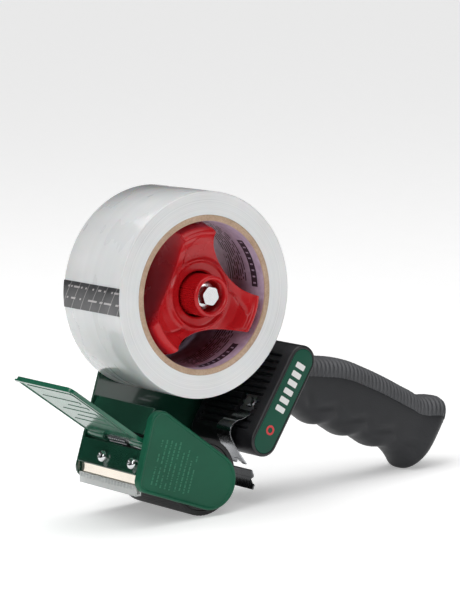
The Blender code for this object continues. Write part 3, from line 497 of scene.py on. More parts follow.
def make(name, bm, mat, body, nodes=(), bevel=0.0, angle=35.0, segments=2):
    """Finish a mesh drawn in mm as a piece that rides on a body."""
    obj = placed(name, bm)
    obj.data.shade_smooth()
    obj.data.set_sharp_from_angle(angle=math.radians(angle))
    obj.data.materials.append(mat)
    if bevel:
        mod = obj.modifiers.new("edges", "BEVEL")
        mod.width = bevel * MM
        mod.segments = segments
        mod.limit_method = "ANGLE"
        mod.angle_limit = math.radians(angle)
        mod.harden_normals = True
    if nodes:
        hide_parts(*nodes)
    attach(obj, body)
    return obj


def carve(obj, cutter, operation="DIFFERENCE"):
    """Boolean with a shape drawn in mm, applied straight away."""
    tool = placed("cutter", cutter)
    mod = obj.modifiers.new("carve", "BOOLEAN")
    mod.operation = operation
    mod.solver = "EXACT"
    mod.object = tool
    kept = [m for m in obj.modifiers if m.type == "BEVEL"]
    for m in kept:
        m.show_viewport = False
    bpy.context.view_layer.update()
    graph = bpy.context.evaluated_depsgraph_get()
    solid = bpy.data.meshes.new_from_object(obj.evaluated_get(graph), depsgraph=graph)
    obj.modifiers.remove(mod)
    spare = (obj.data, tool.data)
    obj.data = solid
    bpy.data.objects.remove(tool)
    for mesh in spare:
        bpy.data.meshes.remove(mesh)
    for m in kept:
        m.show_viewport = True
    obj.data.set_sharp_from_angle(angle=math.radians(35.0))


# ---- the roll ----
PLIES = 26                      # rings on the roll's side, each at its own depth
PLY_STAGGER = 0.05
TAB_HALF_LENGTH, TAB_RISE = 7.0, 2.0


def roll():
    centre = (0.0, 0.0, ROLL_Z)
    chance = random.Random(7)
    side = []
    for i in range(PLIES + 1):
        radius = CORE_OUTER_R + 0.1 + (TAPE_R - 0.4 - CORE_OUTER_R - 0.1) * i / PLIES
        side.append((radius, HALF_WIDTH - PLY_STAGGER * chance.random()))
    profile = [(r, -y) for r, y in side]
    profile += [(TAPE_R - 0.12, -HALF_WIDTH + 0.1), (TAPE_R, -HALF_WIDTH + 0.4),
                (TAPE_R, HALF_WIDTH - 0.4), (TAPE_R - 0.12, HALF_WIDTH - 0.1)]
    profile += side[::-1]
    make("tape_roll_film", turned(bmesh.new(), profile, centre, segments=200), FILM, "tape_roll",
         ["tape_winding"], angle=60.0)
    profile = tube(CORE_R, CORE_OUTER_R + 0.05, -HALF_WIDTH - 0.12, HALF_WIDTH + 0.12, 0.25)
    make("core_board", turned(bmesh.new(), profile, centre, segments=160), BOARD, "tape_roll",
         ["tape_core"])
    profile = tube(CORE_R - 0.12, CORE_R + 0.02, -HALF_WIDTH + 0.5, HALF_WIDTH - 0.5, 0.03)
    make("core_liner", turned(bmesh.new(), profile, centre, segments=160), LINER, "tape_roll")
    half = math.degrees(TAB_HALF_LENGTH / TAPE_R)
    middle = 180.0 - math.degrees(TAB_RISE / TAPE_R)
    inner = arc(0.0, ROLL_Z, TAPE_R - 0.05, middle - half, middle + half, 18)
    outer = arc(0.0, ROLL_Z, TAPE_R + 0.3, middle - half, middle + half, 18)
    bm = prism(bmesh.new(), outer + inner[::-1], -HALF_WIDTH - 0.05, HALF_WIDTH + 0.05)
    make("starter_label", bm, TAB, "tape_roll", ["starter_tab"], bevel=0.1)


# ---- hub and brake ----
def lobes(outer, waist, half, steps=14, flank=30):
    points = []
    for lobe in range(3):
        middle = FIRST_LOBE + 120.0 * lobe
        tip = arc(0.0, 0.0, outer, middle - half, middle + half, steps)
        start = Vector(tip[-1])
        bottom = Vector(arc(0.0, 0.0, waist, middle + FLANK_ANGLE, middle + FLANK_ANGLE, 1)[0])
        end = Vector(arc(0.0, 0.0, outer, middle + 120.0 - half, middle + 120.0 - half, 1)[0])
        control = bottom * 2.0 - (start + end) * 0.5
        points += tip
        for i in range(1, flank):
            t = i / flank
            points.append(tuple(start * (1 - t) ** 2 + control * (2 * t * (1 - t)) + end * t ** 2))
    return points


# front face of the hub: distance from the axis and depth
HUB_FACE = [(12.0, -18.5), (12.8, -19.1), (15.8, -19.4), (16.5, -19.6), (17.0, -20.5),
            (17.4, -20.9), (17.9, -20.9), (18.3, -20.4), (18.8, -19.6), (20.5, -19.5),
            (25.5, -20.9), (29.2, -23.6), (30.6, -24.9), (31.2, -26.3), (31.8, -26.9),
            (32.6, -27.0), (33.5, -26.5), (34.3, -25.4)]
# lead-in of the lobes: depth and greatest distance from the axis
LEAD_IN = [(-25.4, 34.3), (-24.6, 34.9), (-16.0, 37.5)]
HUB_WALL = 2.5
HUB_BACK_Y = 21.0
WALL_START_Y = -15.0            # where the shaped front of the wall begins
WALL_SHARES = (0.0, 0.1, 0.4, 0.7, 0.93, 1.0)
EDGE_DROP = (1.1, 0.4, 0.1)     # rounding of the flanks' front edge, ring by ring
FLANK_LIMIT = 31.0              # the rim beyond this keeps its own shape
FACE_RINGS = 64
RECESS_R, BORE_R, BUSH_SEAT_R, BOSS_R = 12.0, 5.5, 7.8, 14.6
CREASE_R, CREASE_SLOPE = 28.6, 0.42


def reading(table, x):
    for (a, first), (b, second) in zip(table, table[1:]):
        if x <= b:
            return first + (second - first) * max(0.0, x - a) / (b - a)
    return table[-1][1]


def ramp(value, start, length):
    """0 at the start, 1 a length further on."""
    return min(1.0, max(0.0, (value - start) / length))


def bell(x):
    return math.exp(-x * x)


def fan_crease(here):
    """Spiral valley across each lobe's face, deepest along its line."""
    angle = math.degrees(math.atan2(here.y, here.x)) - FIRST_LOBE
    local = (angle + 60.0) % 120.0 - 60.0
    away = here.length - (CREASE_R - CREASE_SLOPE * local)
    fade = (1.0 - ramp(here.length, FLANK_LIMIT - 2.0, 2.0)) * ramp(here.length, 19.0, 2.0)
    pad = 0.5 - 0.5 * math.tanh(away / 0.5)
    return fade * (1.0 * bell(away / 0.75) - 0.9 + 0.9 * pad)


def hub():
    outline = lobes(HUB_R, WAIST_R, LOBE_HALF)
    bm = bmesh.new()

    def ring(points, y):
        return [bm.verts.new((x, y, ROLL_Z + z)) for x, z in points]

    def round_ring(radius, y):
        return ring([tuple(Vector(p).normalized() * radius) for p in outline], y)

    def capped(point, limit):
        point = Vector(point)
        return point * min(1.0, limit / point.length)

    rim = [capped(point, LEAD_IN[0][1]) for point in outline]
    rings = []
    for share in WALL_SHARES:
        points = []
        for point, end in zip(outline, rim):
            edge = reading(HUB_FACE, end.length)
            edge += EDGE_DROP[0] if end.length < FLANK_LIMIT else 0.0
            depth = WALL_START_Y + (edge - WALL_START_Y) * share
            here = capped(point, reading(LEAD_IN, depth))
            points.append(bm.verts.new((here.x, depth, ROLL_Z + here.y)))
        rings.append(points)
    shares = [0.012, 0.03, 0.05]
    shares += [0.05 + 0.95 * i / FACE_RINGS for i in range(1, FACE_RINGS + 1)]
    for k, share in enumerate(shares, 1):
        points = []
        for end in rim:
            here = end.lerp(end.normalized() * RECESS_R, share)
            depth = reading(HUB_FACE, here.length) + fan_crease(here)
            if k < len(EDGE_DROP) and end.length < FLANK_LIMIT:
                depth += EDGE_DROP[k]
            points.append(bm.verts.new((here.x, depth, ROLL_Z + here.y)))
        rings.append(points)
    rings += [round_ring(radius, y) for radius, y in
              ((RECESS_R, -4.0), (BORE_R, -4.0), (BORE_R, 23.8), (BUSH_SEAT_R, 23.8),
               (BUSH_SEAT_R, 0.0), (BOSS_R, 0.0), (BOSS_R, -14.0))]
    rings += [ring(offset(outline, -inset), y) for inset, y in
              ((HUB_WALL, -14.0), (HUB_WALL, HUB_BACK_Y - 0.3), (2.2, HUB_BACK_Y),
               (0.3, HUB_BACK_Y), (0.0, HUB_BACK_Y - 0.3))]
    loft(bm, rings, loop=True)
    make("hub_spider", bm, RED_PLASTIC, "hub", ["hub"], angle=38.0)


KNURL_FRONT_R, KNURL_BACK_R = 10.71, 10.72      # ends of the toothed part
KNURL_MIDDLE_R, KNURL_DEPTH, KNURL_TEETH = 10.45, 0.32, 60


def knob():
    profile = [(3.3, -22.0), (7.4, -22.0), (7.9, -22.3), (8.1, -22.9), (8.2, -29.9), (8.4, -30.6),
               (8.8, -31.2), (9.2, -31.5), (9.6, -31.5), (10.1, -31.3), (10.5, -30.8),
               (10.7, -30.2), (KNURL_FRONT_R, -29.8), (KNURL_BACK_R, -16.2), (10.7, -15.6),
               (10.3, -14.6), (10.0, -14.5), (3.3, -14.5)]

    def knurl(radius, distance, a):
        if radius in (KNURL_FRONT_R, KNURL_BACK_R):
            return KNURL_MIDDLE_R + KNURL_DEPTH * math.cos(a * KNURL_TEETH)
        return radius

    bm = turned(bmesh.new(), profile, (0.0, 0.0, ROLL_Z), segments=384, reach=knurl)
    make("brake_knob_body", bm, RED_PLASTIC, "brake_knob", ["brake_knob"],
         angle=50.0)


def hex_reach(across, low, high):
    """Shape of a chamfered hexagon: flats, with corners turned off near both ends."""
    def reach(radius, distance, a):
        if radius != across:
            return radius
        within_flat = (a % math.radians(60.0)) - math.radians(30.0)
        flat = across / 2 / math.cos(within_flat)
        near_end = max(0.0, min(distance - low, high - distance))
        return min(flat, across / 2 * 1.09 + near_end / HEX_CHAMFER * across * 0.075)
    return reach


def hexagon(across, low, high, bore, at=(0.0, ROLL_Z)):
    steps = [0.0, HEX_CHAMFER / 3, HEX_CHAMFER * 2 / 3, HEX_CHAMFER]
    side = [(across, low + s) for s in steps] + [(across, high - s) for s in reversed(steps)]
    return turned(bmesh.new(), [(bore, low)] + side + [(bore, high)], (at[0], 0.0, at[1]),
                  segments=72, reach=hex_reach(across, low, high))


def rod(bm, start, end, axis_hole, at):
    """Axle with a chamfered far end; axis_hole keeps the closed profile off the axis."""
    return turned(bm, [(axis_hole, start), (AXLE_R, start), (AXLE_R, end - 0.5),
                       (AXLE_R - 0.5, end), (axis_hole, end)], (at[0], 0.0, at[1]))


AXLE_R = 3.0
BOLT_HEAD_Y = (-30.0, -25.6)
NUTS = (("hub_nut", "axle_nut", (0.0, ROLL_Z), 5.3),
        ("roller_nut", "roller_axle_nut", ROLLER_AXIS, 4.3))


def steel(name, bm, node):
    make(name, bm, BRIGHT, "frame", [node])


def bolts():
    bm = hexagon(9.0, *BOLT_HEAD_Y, 0.02)
    turned(bm, tube(0.02, 6.2, -25.4, -24.2, 0.2), (0.0, 0.0, ROLL_Z))
    rod(bm, -26.0, PLATE_OUT_Y + 6.4, 0.02, (0.0, ROLL_Z))
    steel("hub_bolt", bm, "axle_bolt")
    for name, node, at, height in NUTS:
        steel(name, hexagon(10.0, PLATE_OUT_Y + 0.3, PLATE_OUT_Y + height, 3.2, at), node)
    steel("roller_rod", rod(bmesh.new(), -27.2, PLATE_OUT_Y + 5.2, 0.05, ROLLER_AXIS), "roller_axle")


SCREW_SHANK = 2.5               # length of shank drawn behind a screw's seat


def screw(at, direction, radius, height, shank):
    """Domed screw head with a cross recess; the shank runs back from the seat."""
    recess_r = radius * 0.42
    profile = [(0.02, height - 0.55), (radius * 0.34, height - 0.55), (recess_r, height + 0.02)]
    for i in range(1, 7):
        a = math.radians(15.0 * i)
        profile.append((radius * (0.42 + 0.58 * math.sin(a)), height * (0.28 + 0.72 * math.cos(a))))
    profile += [(radius, 0.0), (shank, 0.0), (shank, -SCREW_SHANK), (0.02, -SCREW_SHANK)]

    def recess(size, distance, a):
        if abs(size - recess_r) < 1e-9:
            return radius * (0.30 + 0.24 * abs(math.cos(2 * a)) ** 2)
        return size

    return turned(bmesh.new(), profile, at, direction, 32, recess)


def panel_axes():
    """Directions up the front panel and square out of it."""
    along = (Vector(PANEL_LINE[0]) - Vector(PANEL_LINE[1])).normalized()
    return along, Vector((-along.y, along.x))


PANEL_SCREW_Y = (5.5, -21.0)
PANEL_SCREW_FOOT = (-44.45, 32.6)       # on the panel's centre line
HOUSING_SCREW_SHARES = (0.92, 0.52, 0.12)


def screws():
    _, out = panel_axes()
    seat = Vector(PANEL_SCREW_FOOT) + out * 0.7
    for number, y in enumerate(PANEL_SCREW_Y, 1):
        bm = screw((seat.x, y, seat.y), (out.x, 0.0, out.y), 3.1, 2.7, 1.9)
        steel(f"panel_screw_{number}", bm, f"blade_screw_{number}")
    far = [(f"far_frame_screw_{i}", at, 2.9, 1.6)
           for i, at in enumerate(BAND_SCREWS + [PANEL_SCREW], 1)]
    far.append(("guide_screw", GUIDE_SCREW, 2.9, 1.6))
    far += [(f"housing_screw_{i}", tuple(HOUSING_LOW.lerp(HOUSING_TOP, share)), 3.6, 2.3)
            for i, share in enumerate(HOUSING_SCREW_SHARES, 1)]
    for node, (x, z), radius, height in far:
        steel(node + "_head", screw((x, PLATE_OUT_Y, z), (0.0, 1.0, 0.0), radius, height, 1.4), node)


# ---- frame sheet metal ----
def side_plate():
    circles = [CHEEK[1], CHEEK[2], (0.0, ROLL_Z, 16.2), (*HOUSING_TOP, HOUSING_R - 0.4),
               (*HOUSING_LOW, HOUSING_R - 0.4)]
    bm = prism(bmesh.new(), hull_of_circles(circles), PLATE_IN_Y, PLATE_OUT_Y)
    make("plate", bm, GREEN_STEEL, "frame", ["side_plate"], bevel=0.35, segments=3)


# cover over the near cheek: distance outside its outline and depth, from its rim to its face
COVER_FACE = [(-1.6, -25.0), (-0.2, -25.0), (0.0, -25.2), (0.0, -28.6), (-0.1, -29.0),
              (-0.35, -29.35), (-0.7, -29.5), (-1.15, -29.48), (-1.45, -29.3), (-1.6, -29.0),
              (-1.72, -28.8), (-2.0, -28.72), (-3.5, -28.7)]
COVER_BACK = [(-3.5, -27.5), (-1.8, -27.5), (-1.6, -27.3)]
MARK_ROWS, MARK_ROW_PITCH = 9, 2.9
MARK_SHIFTED_ROWS = 5           # the rows after these stand a little further on and end sooner
MARK_WIDTH, MARK_GAP = 0.95, 0.55
MARK_Y = (-28.72, -28.93)


def cover():
    outline = hull_of_circles(CHEEK)
    bm = bmesh.new()
    loft(bm, [layer(bm, offset(outline, d), y) for d, y in COVER_BACK + COVER_FACE])
    make("cheek_cover", bm, GREEN_PLASTIC, "frame", ["near_cover"], angle=40.0)


def cover_marks():
    """Rows of short raised strokes on the cover, with no letters in them, in a lighter green that is
    a painted highlight.
    """
    chance = random.Random(11)
    along = Vector((0.348, 0.938))
    across = Vector((0.938, -0.348))
    start = Vector((-40.6, 22.0))
    bm = bmesh.new()
    for row in range(MARK_ROWS):
        shift = row * MARK_ROW_PITCH + (0.0 if row < MARK_SHIFTED_ROWS else 0.6)
        base = start + across * shift + along * (1.5 * chance.random())
        reach = 0.0
        limit = 20.5 + 5.0 * chance.random() - max(0, row - MARK_SHIFTED_ROWS) * 1.8
        while reach < limit:
            size = 0.5 + 1.5 * chance.random()
            if chance.random() > 0.12:
                mark(bm, base + along * reach, along, across, size)
            reach += size + MARK_GAP
    make("cheek_marks", bm, MARKS_PAINTED_HIGHLIGHT, "frame")


def mark(bm, corner, along, across, length, lean=0.18):
    """Small raised stroke with sloped sides."""
    rings = []
    for inset, y in zip((0.0, 0.12), MARK_Y):
        ring = []
        far, wide = length - inset, MARK_WIDTH - inset
        for s, t in ((inset, inset), (far, inset), (far, wide), (inset, wide)):
            p = corner + along * (s + lean * t) + across * t
            ring.append(bm.verts.new((p.x, y, p.y)))
        rings.append(ring)
    loft(bm, rings)


BAND_TAB = [(-33.2, 59.6), (-36.2, 54.9), (-40.2, 47.9), (-35.4, 44.9), (-31.2, 49.4), (-27.9, 57.2)]
PANEL_TAB = [(-42.0, 39.6), (-43.0, 36.8), (-41.2, 36.2), (-38.8, 33.6), (-35.6, 34.2),
             (-35.8, 37.6), (-38.6, 38.6)]


def cross_pieces():
    for name, node, line, fold, tab in (("band", "cross_band", BAND_LINE, 3.0, BAND_TAB),
                                        ("panel", "front_panel", PANEL_LINE, 1.4, PANEL_TAB)):
        bm = prism(bmesh.new(), strip(rounded(line, fold), SHEET), *CROSS_Y)
        prism(bm, tab, *NEAR_TAB_Y)
        prism(bm, tab, *FAR_TAB_Y)
        make(name, bm, GREEN_STEEL, "frame", [node], bevel=0.3, angle=50.0)


ROLLER_RIBS, ROLLER_RIB_DEPTH = 60, 0.35


def roller():
    y0, y1 = ROLLER_Y

    def ribs(radius, distance, a):
        if radius == ROLLER_R:
            return ROLLER_R - ROLLER_RIB_DEPTH * max(0.0, math.cos(a * ROLLER_RIBS)) ** 3
        return radius

    profile = [(17.5, y0), (19.2, y0), (19.8, y0 + 0.2), (ROLLER_R, y0 + 0.9),
               (ROLLER_R, y1 - 0.9), (19.8, y1 - 0.2), (19.2, y1), (17.5, y1)]
    bm = turned(bmesh.new(), profile, (ROLLER_AXIS[0], 0.0, ROLLER_AXIS[1]), segments=480,
                reach=ribs)
    make("roller_sleeve", bm, RUBBER, "roller", ["roller_tyre"], angle=55.0)


# ---- housing, badge, catch and guide ----
# distance in from the near end or the far end, and how far inside the full outline
HOUSING_NEAR_END = [(0.8, 1.7), (0.15, 1.7), (0.0, 1.5), (0.0, 1.1), (0.12, 0.7), (0.45, 0.32),
                    (0.9, 0.1), (1.5, 0.0)]
HOUSING_FAR_END = [(4.0, 0.0), (2.9, 0.16), (1.9, 0.6), (1.0, 1.35), (0.4, 2.3), (0.05, 3.4),
                   (0.0, 4.2)]
BADGE_SECTION = [(0.8, 1.85), (0.3, 1.85), (0.12, 2.0), (0.06, 2.3)]
GROOVE_R = 0.9
CATCH_POCKET = ((-9.5, -17.0), (-5.2, -17.0), (-5.2, -1.0), (-9.5, -1.0))


def grooves():
    """Cutters of the grooves across the housing, with rounded ends."""
    bm = bmesh.new()
    middle = housing_point(0, 0)
    up, out = housing_point(0, 1) - middle, housing_point(1, 0) - middle
    angles = [math.radians(a) for a in (20, 45, 70, 90)]
    turns = [2 * math.pi * k / 12 for k in range(12)]
    steps = [(-GROOVE_HALF_Y, 0.02)]
    steps += [(-GROOVE_HALF_Y + GROOVE_R * (1 - math.cos(a)), GROOVE_R * math.sin(a)) for a in angles]
    steps += [(-y, r) for y, r in reversed(steps)]
    for i in range(GROOVES):
        axis = housing_point(-HOUSING_R, (i - (GROOVES - 1) / 2) * GROOVE_PITCH)
        rings = []
        for y, r in steps:
            oval = [axis + up * (r * math.cos(a)) + out * (r * 1.25 * math.sin(a)) for a in turns]
            rings.append([bm.verts.new((p.x, y - 0.6, p.y)) for p in oval])
        loft(bm, rings)
    return bm


def housing():
    y0, y1 = HOUSING_Y
    stations = [(y0 + y, inset) for y, inset in HOUSING_NEAR_END]
    stations += [(y1 - y, inset) for y, inset in HOUSING_FAR_END]
    bm = bmesh.new()
    loft(bm, [layer(bm, stadium(HOUSING_R - inset), y) for y, inset in stations])
    shell = make("housing_shell", bm, BLACK_PLASTIC, "frame", ["housing"],
                 bevel=0.16, angle=42.0)
    carve(shell, grooves())
    pocket = [housing_point(u, v) for u, v in CATCH_POCKET]
    carve(shell, prism(bmesh.new(), pocket, CATCH_Y[0] - 0.8, CATCH_Y[1] + 0.8))


def badge():
    y0 = HOUSING_Y[0]
    bm = bmesh.new()
    loft(bm, [layer(bm, stadium(HOUSING_R - inset), y0 + y) for y, inset in BADGE_SECTION])
    make("badge", bm, BADGE_GREEN, "frame", ["side_badge"])
    bm = bmesh.new()
    for i in range(6):
        bar(bm, -4.6 + i * 5.0, 3.0, y0)
    make("badge_marks", bm, BADGE_WHITE, "frame")
    centre = housing_point(0.0, -17.0)
    bm = turned(bmesh.new(), [(1.5, -0.02), (1.5, -0.1), (2.6, -0.1), (2.6, -0.02)],
                (centre.x, y0 + 0.06, centre.y))
    make("badge_ring", bm, BADGE_RED, "frame")


def bar(bm, v, width, y0):
    """Flat printed bar across the badge with rounded corners."""
    half_u, half_v, corner = 3.1, width / 2, 0.5
    points = []
    for su, sv, start in ((1, 1, 0), (-1, 1, 90), (-1, -1, 180), (1, -1, 270)):
        for u, w in arc(su * (half_u - corner), sv * (half_v - corner), corner, start, start + 90, 4):
            points.append(housing_point(u, v + w))
    prism(bm, points, y0 - 0.05, y0 + 0.08)


LEAF_LINE = [(27.9, 45.4), (23.2, 45.2), (19.4, 42.6), (18.6, 38.6), (21.0, 33.0), (24.8, 27.0),
             (28.8, 21.4)]
# toothed notch in the leaf's tip: across it and up it
LEAF_NOTCH = [(-4.6, -3.0), (4.6, -3.0), (3.3, -0.6), (2.6, -0.9), (1.9, 1.4), (1.2, 1.1), (0.0, 3.8),
              (-1.2, 1.1), (-1.9, 1.4), (-2.6, -0.9), (-3.3, -0.6)]


def catch():
    seat = [housing_point(CATCH_U, -2.0), housing_point(CATCH_U, -11.2)]
    make("catch_seat", prism(bmesh.new(), strip(seat, LEAF), *CATCH_Y), SPRING, "frame",
         ["catch_clip"], bevel=0.15)
    line = rounded(rounded([housing_point(CATCH_U, -12.0)] + LEAF_LINE, 3.0, 5), 1.0, 3)
    strap = make("catch_leaf", prism(bmesh.new(), strip(line, LEAF), *CATCH_Y), SPRING, "catch",
                 ["catch_strap"], bevel=0.14, angle=45.0)
    middle = sum(CATCH_Y) / 2
    tip_x, tip_z = LEAF_LINE[-1]
    notch = bmesh.new()
    rings = [[notch.verts.new((tip_x + push - rise * 0.58, middle + y, tip_z + rise * 0.81))
              for y, rise in LEAF_NOTCH] for push in (-5.0, 5.0)]
    loft(notch, rings)
    carve(strap, notch)


GUIDE_LINE = [(28.2, 19.0), (29.6, 15.0), (29.8, 11.6), (28.6, 8.6)]
GUIDE_TAB = [(19.6, 24.0), (28.3, 15.2), (29.9, 15.2), (28.6, 19.4), (27.2, 28.4), (21.6, 28.4)]
# fork at the near end of the finger: across the object and height
GUIDE_NOTCH = [(-24.0, 17.6), (-24.0, 9.8), (-21.3, 11.5), (-20.9, 11.1), (-19.2, 13.4),
               (-20.9, 14.9), (-21.3, 14.6)]


def sideways(section, x0, x1):
    """Prism along X of a section given in (y, z)."""
    bm = bmesh.new()
    return loft(bm, [[bm.verts.new((x, y, z)) for y, z in section] for x in (x0, x1)])


def guide():
    outline = strip(rounded(GUIDE_LINE, 2.0), 0.8)
    finger = make("guide_finger", prism(bmesh.new(), outline, -22.4, FAR_TAB_Y[1]), DARK_STEEL,
                  "frame", ["rear_guide"], bevel=0.15, angle=45.0)
    carve(finger, prism(bmesh.new(), GUIDE_TAB, *FAR_TAB_Y), "UNION")
    carve(finger, sideways(GUIDE_NOTCH, 26.0, 32.0))


# ---- blade, guard and flap ----
BLADE_Y = (-24.2, 26.6)
BLADE_TIP = (-44.9, 20.9)
TOOTH_TOP_Z, TOOTH_ROOT_Z, TOOTH_TIP_Z = 21.4, 20.9, 18.6
GUARD_SECTION = [(-46.6, 22.3), (-46.6, 16.6), (-43.3, 16.6), (-43.3, 20.4), (-44.1, 20.4),
                 (-44.1, 17.6), (-45.7, 17.6), (-45.7, 22.3)]
GUARD_Y = (-24.6, 26.9)


def blade():
    along, out = panel_axes()
    back = Vector(PANEL_LINE[1]) - out * 1.35
    top = back + along * 7.0
    line = rounded([tuple(top), tuple(back), BLADE_TIP], 1.5)
    # the blade's warm cream colour is a painted reflection
    bar_of_steel = make("blade_strip", prism(bmesh.new(), strip(line, 0.8), *BLADE_Y), BLADE_PAINTED_REFLECTION,
                        "frame", ["blade"], bevel=0.06, angle=40.0)
    start = (sum(BLADE_Y) - TEETH * TOOTH_PITCH) / 2
    end = start + TEETH * TOOTH_PITCH
    edge = [(start, TOOTH_TOP_Z)]
    for i in range(TEETH):
        edge += [(start + i * TOOTH_PITCH, TOOTH_ROOT_Z),
                 (start + (i + 0.5) * TOOTH_PITCH, TOOTH_TIP_Z)]
    edge += [(end, TOOTH_ROOT_Z), (end, TOOTH_TOP_Z)]
    carve(bar_of_steel, sideways(edge, -45.3, -44.5), "UNION")
    make("guard_channel", prism(bmesh.new(), GUARD_SECTION, *GUARD_Y), CLEAR, "frame",
         ["blade_guard"], bevel=0.2, segments=3)
    # ribs across the guard, coloured darker than the guard as painted shade lines
    bm = bmesh.new()
    for i in range(TEETH):
        y = start + i * TOOTH_PITCH
        rings = []
        for x, inset in ((-46.55, 0.0), (-46.95, 0.35)):
            corners = ((y + inset, 21.9 - inset), (y + 1.5 - inset, 21.9 - inset),
                       (y + 2.0 - inset, 19.6 + inset), (y + 0.5 + inset, 19.6 + inset))
            rings.append([bm.verts.new((x, cy, cz)) for cy, cz in corners])
        loft(bm, rings)
    make("guard_ribs", bm, GUARD_RIB_SHADE, "frame")


def flap():
    angle = math.radians(FLAP_ANGLE)
    out = Vector((-math.cos(angle), math.sin(angle)))
    up = Vector((math.sin(angle), math.cos(angle)))
    y0, y1 = FLAP_Y
    bm = bmesh.new()

    def slab(s0, s1, ya, yb, low, high, corner, steps=6):
        """Rounded plate in the flap's own plane, from height low to high."""
        points = []
        for sx, sy, begin in ((s1, yb, 0), (s0, yb, 90), (s0, ya, 180), (s1, ya, 270)):
            size = corner if sx == s1 else min(corner, 0.6)
            cx = sx - size if sx == s1 else sx + size
            cy = sy - size if sy == yb else sy + size
            points += arc(cx, cy, size, begin, begin + 90, steps)
        rings = []
        for height in (low, high):
            edge = [(FLAP_PIN + out * s + up * height, y) for s, y in points]
            rings.append([bm.verts.new((p.x, y, p.y)) for p, y in edge])
        loft(bm, rings)

    slab(3.8, FLAP_LENGTH, y0, y1, -0.75, 0.9, 3.0)
    slab(FLAP_LENGTH - 2.0, FLAP_LENGTH, y0, y1, -1.6, -0.7, 0.9)
    slab(3.8, FLAP_LENGTH - 2.0, y0, y0 + 1.1, -1.15, -0.7, 0.5)
    slab(3.8, FLAP_LENGTH - 2.0, y1 - 1.1, y1, -1.15, -0.7, 0.5)
    slab(12.0, FLAP_LENGTH - 5.0, y0 + 4.0, y1 - 4.0, -1.05, -0.7, 2.4)
    for s0, yb in ((17.0, 18.0), (23.0, 8.0), (29.0, 14.0), (35.0, 2.0), (41.0, 18.0)):
        slab(s0, s0 + 2.0, -16.0, yb, -1.3, -1.0, 0.6, 3)       # raised bars under the flap
    for ya, yb in ((y0, -12.0), (12.0, y1)):                    # curls round the hinge pin
        turned(bm, tube(1.55, 3.0, ya, yb, 0.3), (FLAP_PIN.x, 0.0, FLAP_PIN.y))
        slab(1.9, 5.0, ya, yb, -0.9, 0.9, 0.5, 2)
    make("press_flap", bm, FLAP_PLASTIC, "flap", ["flap"], bevel=0.18, angle=50.0)


# ---- handle ----
# sections: distance from the housing's middle, lowest and highest point
GRIP_SECTIONS = [
    (8.2, 0.9, 26.6), (14.0, 2.0, 29.4), (20.0, 3.0, 32.6), (28.8, 3.6, 36.5), (35.6, 3.3, 39.6),
    (42.3, 3.3, 42.0), (49.0, 6.4, 43.7), (56.6, 6.6, 44.9), (64.0, 7.0, 46.0), (71.0, 10.6, 46.8),
    (78.1, 10.8, 47.5), (85.6, 11.1, 48.1), (92.9, 14.3, 48.8), (98.5, 14.9, 49.0),
    (104.0, 13.9, 50.6), (109.0, 12.1, 53.2), (112.5, 10.72, 54.8), (115.2, 13.6, 55.3),
    (117.4, 17.6, 54.0), (118.9, 22.6, 51.0), (119.6, 27.4, 47.0),
]
# distance from the housing's middle and half width
GRIP_WIDTHS = [(8.2, 17.0), (20.0, 15.6), (49.0, 15.4), (78.0, 16.0), (100.0, 15.4),
               (112.5, 16.0), (115.2, 15.2), (117.4, 13.2), (118.9, 10.6), (119.6, 7.8)]
STRAP_DEPTH = 9.7
STRAP_END_SHORT = 1.2           # how much sooner the back strap ends than the grip
RIB_PITCH = 2.7
RIB_HEIGHT = 0.6
CREASE_HEIGHT, CREASE_WAVE = 8.6, 2.2
FINGER_PITCH, FIRST_FINGER = 21.4, 31.0


def curve(table, u, column):
    """Smooth reading of a table through its points."""
    last = len(table) - 1
    for i in range(last):
        if u <= table[i + 1][0] or i == last - 1:
            break
    x = [table[max(0, min(last, i + k))][0] for k in (-1, 0, 1, 2)]
    y = [table[max(0, min(last, i + k))][column] for k in (-1, 0, 1, 2)]
    t = (u - x[1]) / (x[2] - x[1])
    span = x[2] - x[1]
    m0 = (y[2] - y[0]) / max(1e-6, x[2] - x[0]) * span
    m1 = (y[3] - y[1]) / max(1e-6, x[3] - x[1]) * span
    return ((2 * t ** 3 - 3 * t ** 2 + 1) * y[1] + (t ** 3 - 2 * t ** 2 + t) * m0
            + (-2 * t ** 3 + 3 * t ** 2) * y[2] + (t ** 3 - t ** 2) * m1)


def grip_half(u, v, low, high):
    """Half width of the handle at height v: a rounded box with a wavy crease above the fingers."""
    middle, reach = (low + high) / 2, (high - low) / 2
    share = min(1.0, abs(v - middle) / reach)
    width = curve(GRIP_WIDTHS, u, 1) * (1.0 - share ** 3.2) ** (1 / 2.4)
    wave = CREASE_WAVE * math.cos((u - FIRST_FINGER) / FINGER_PITCH * 2 * math.pi)
    crease = curve(GRIP_SECTIONS, min(112.0, u + 3.0), 1) + CREASE_HEIGHT - wave
    fade = ramp(u, 12.0, 16.0) * (1.0 - ramp(u, 106.0, 8.0))
    width -= fade * 1.5 * bell((v - crease) / 2.0)
    if v < crease:
        width -= fade * 0.5 * (1 - bell((v - crease) / 3.0))
    return max(0.3, width)


def grip_ring(bm, u, v0, v1, steps, low, high, swell=0.0):
    near, far = [], []
    for i in range(steps):
        t = 0.5 - 0.5 * math.cos(math.pi * i / (steps - 1))
        v = v0 + (v1 - v0) * t
        width = grip_half(u, v, low, high) + swell
        lift = swell * max(0.0, (v - v0) / max(0.1, v1 - v0)) ** 3 * 1.5
        x, z = housing_point(u, v + lift)
        near.append(bm.verts.new((x, -width, z)))
        far.append(bm.verts.new((x, width, z)))
    return near + far[::-1]


def along_grip(start, end, count):
    """Distances along the handle with its lowest and highest point there."""
    for i in range(count + 1):
        u = start + (end - start) * i / count
        yield u, curve(GRIP_SECTIONS, u, 1), curve(GRIP_SECTIONS, u, 2)


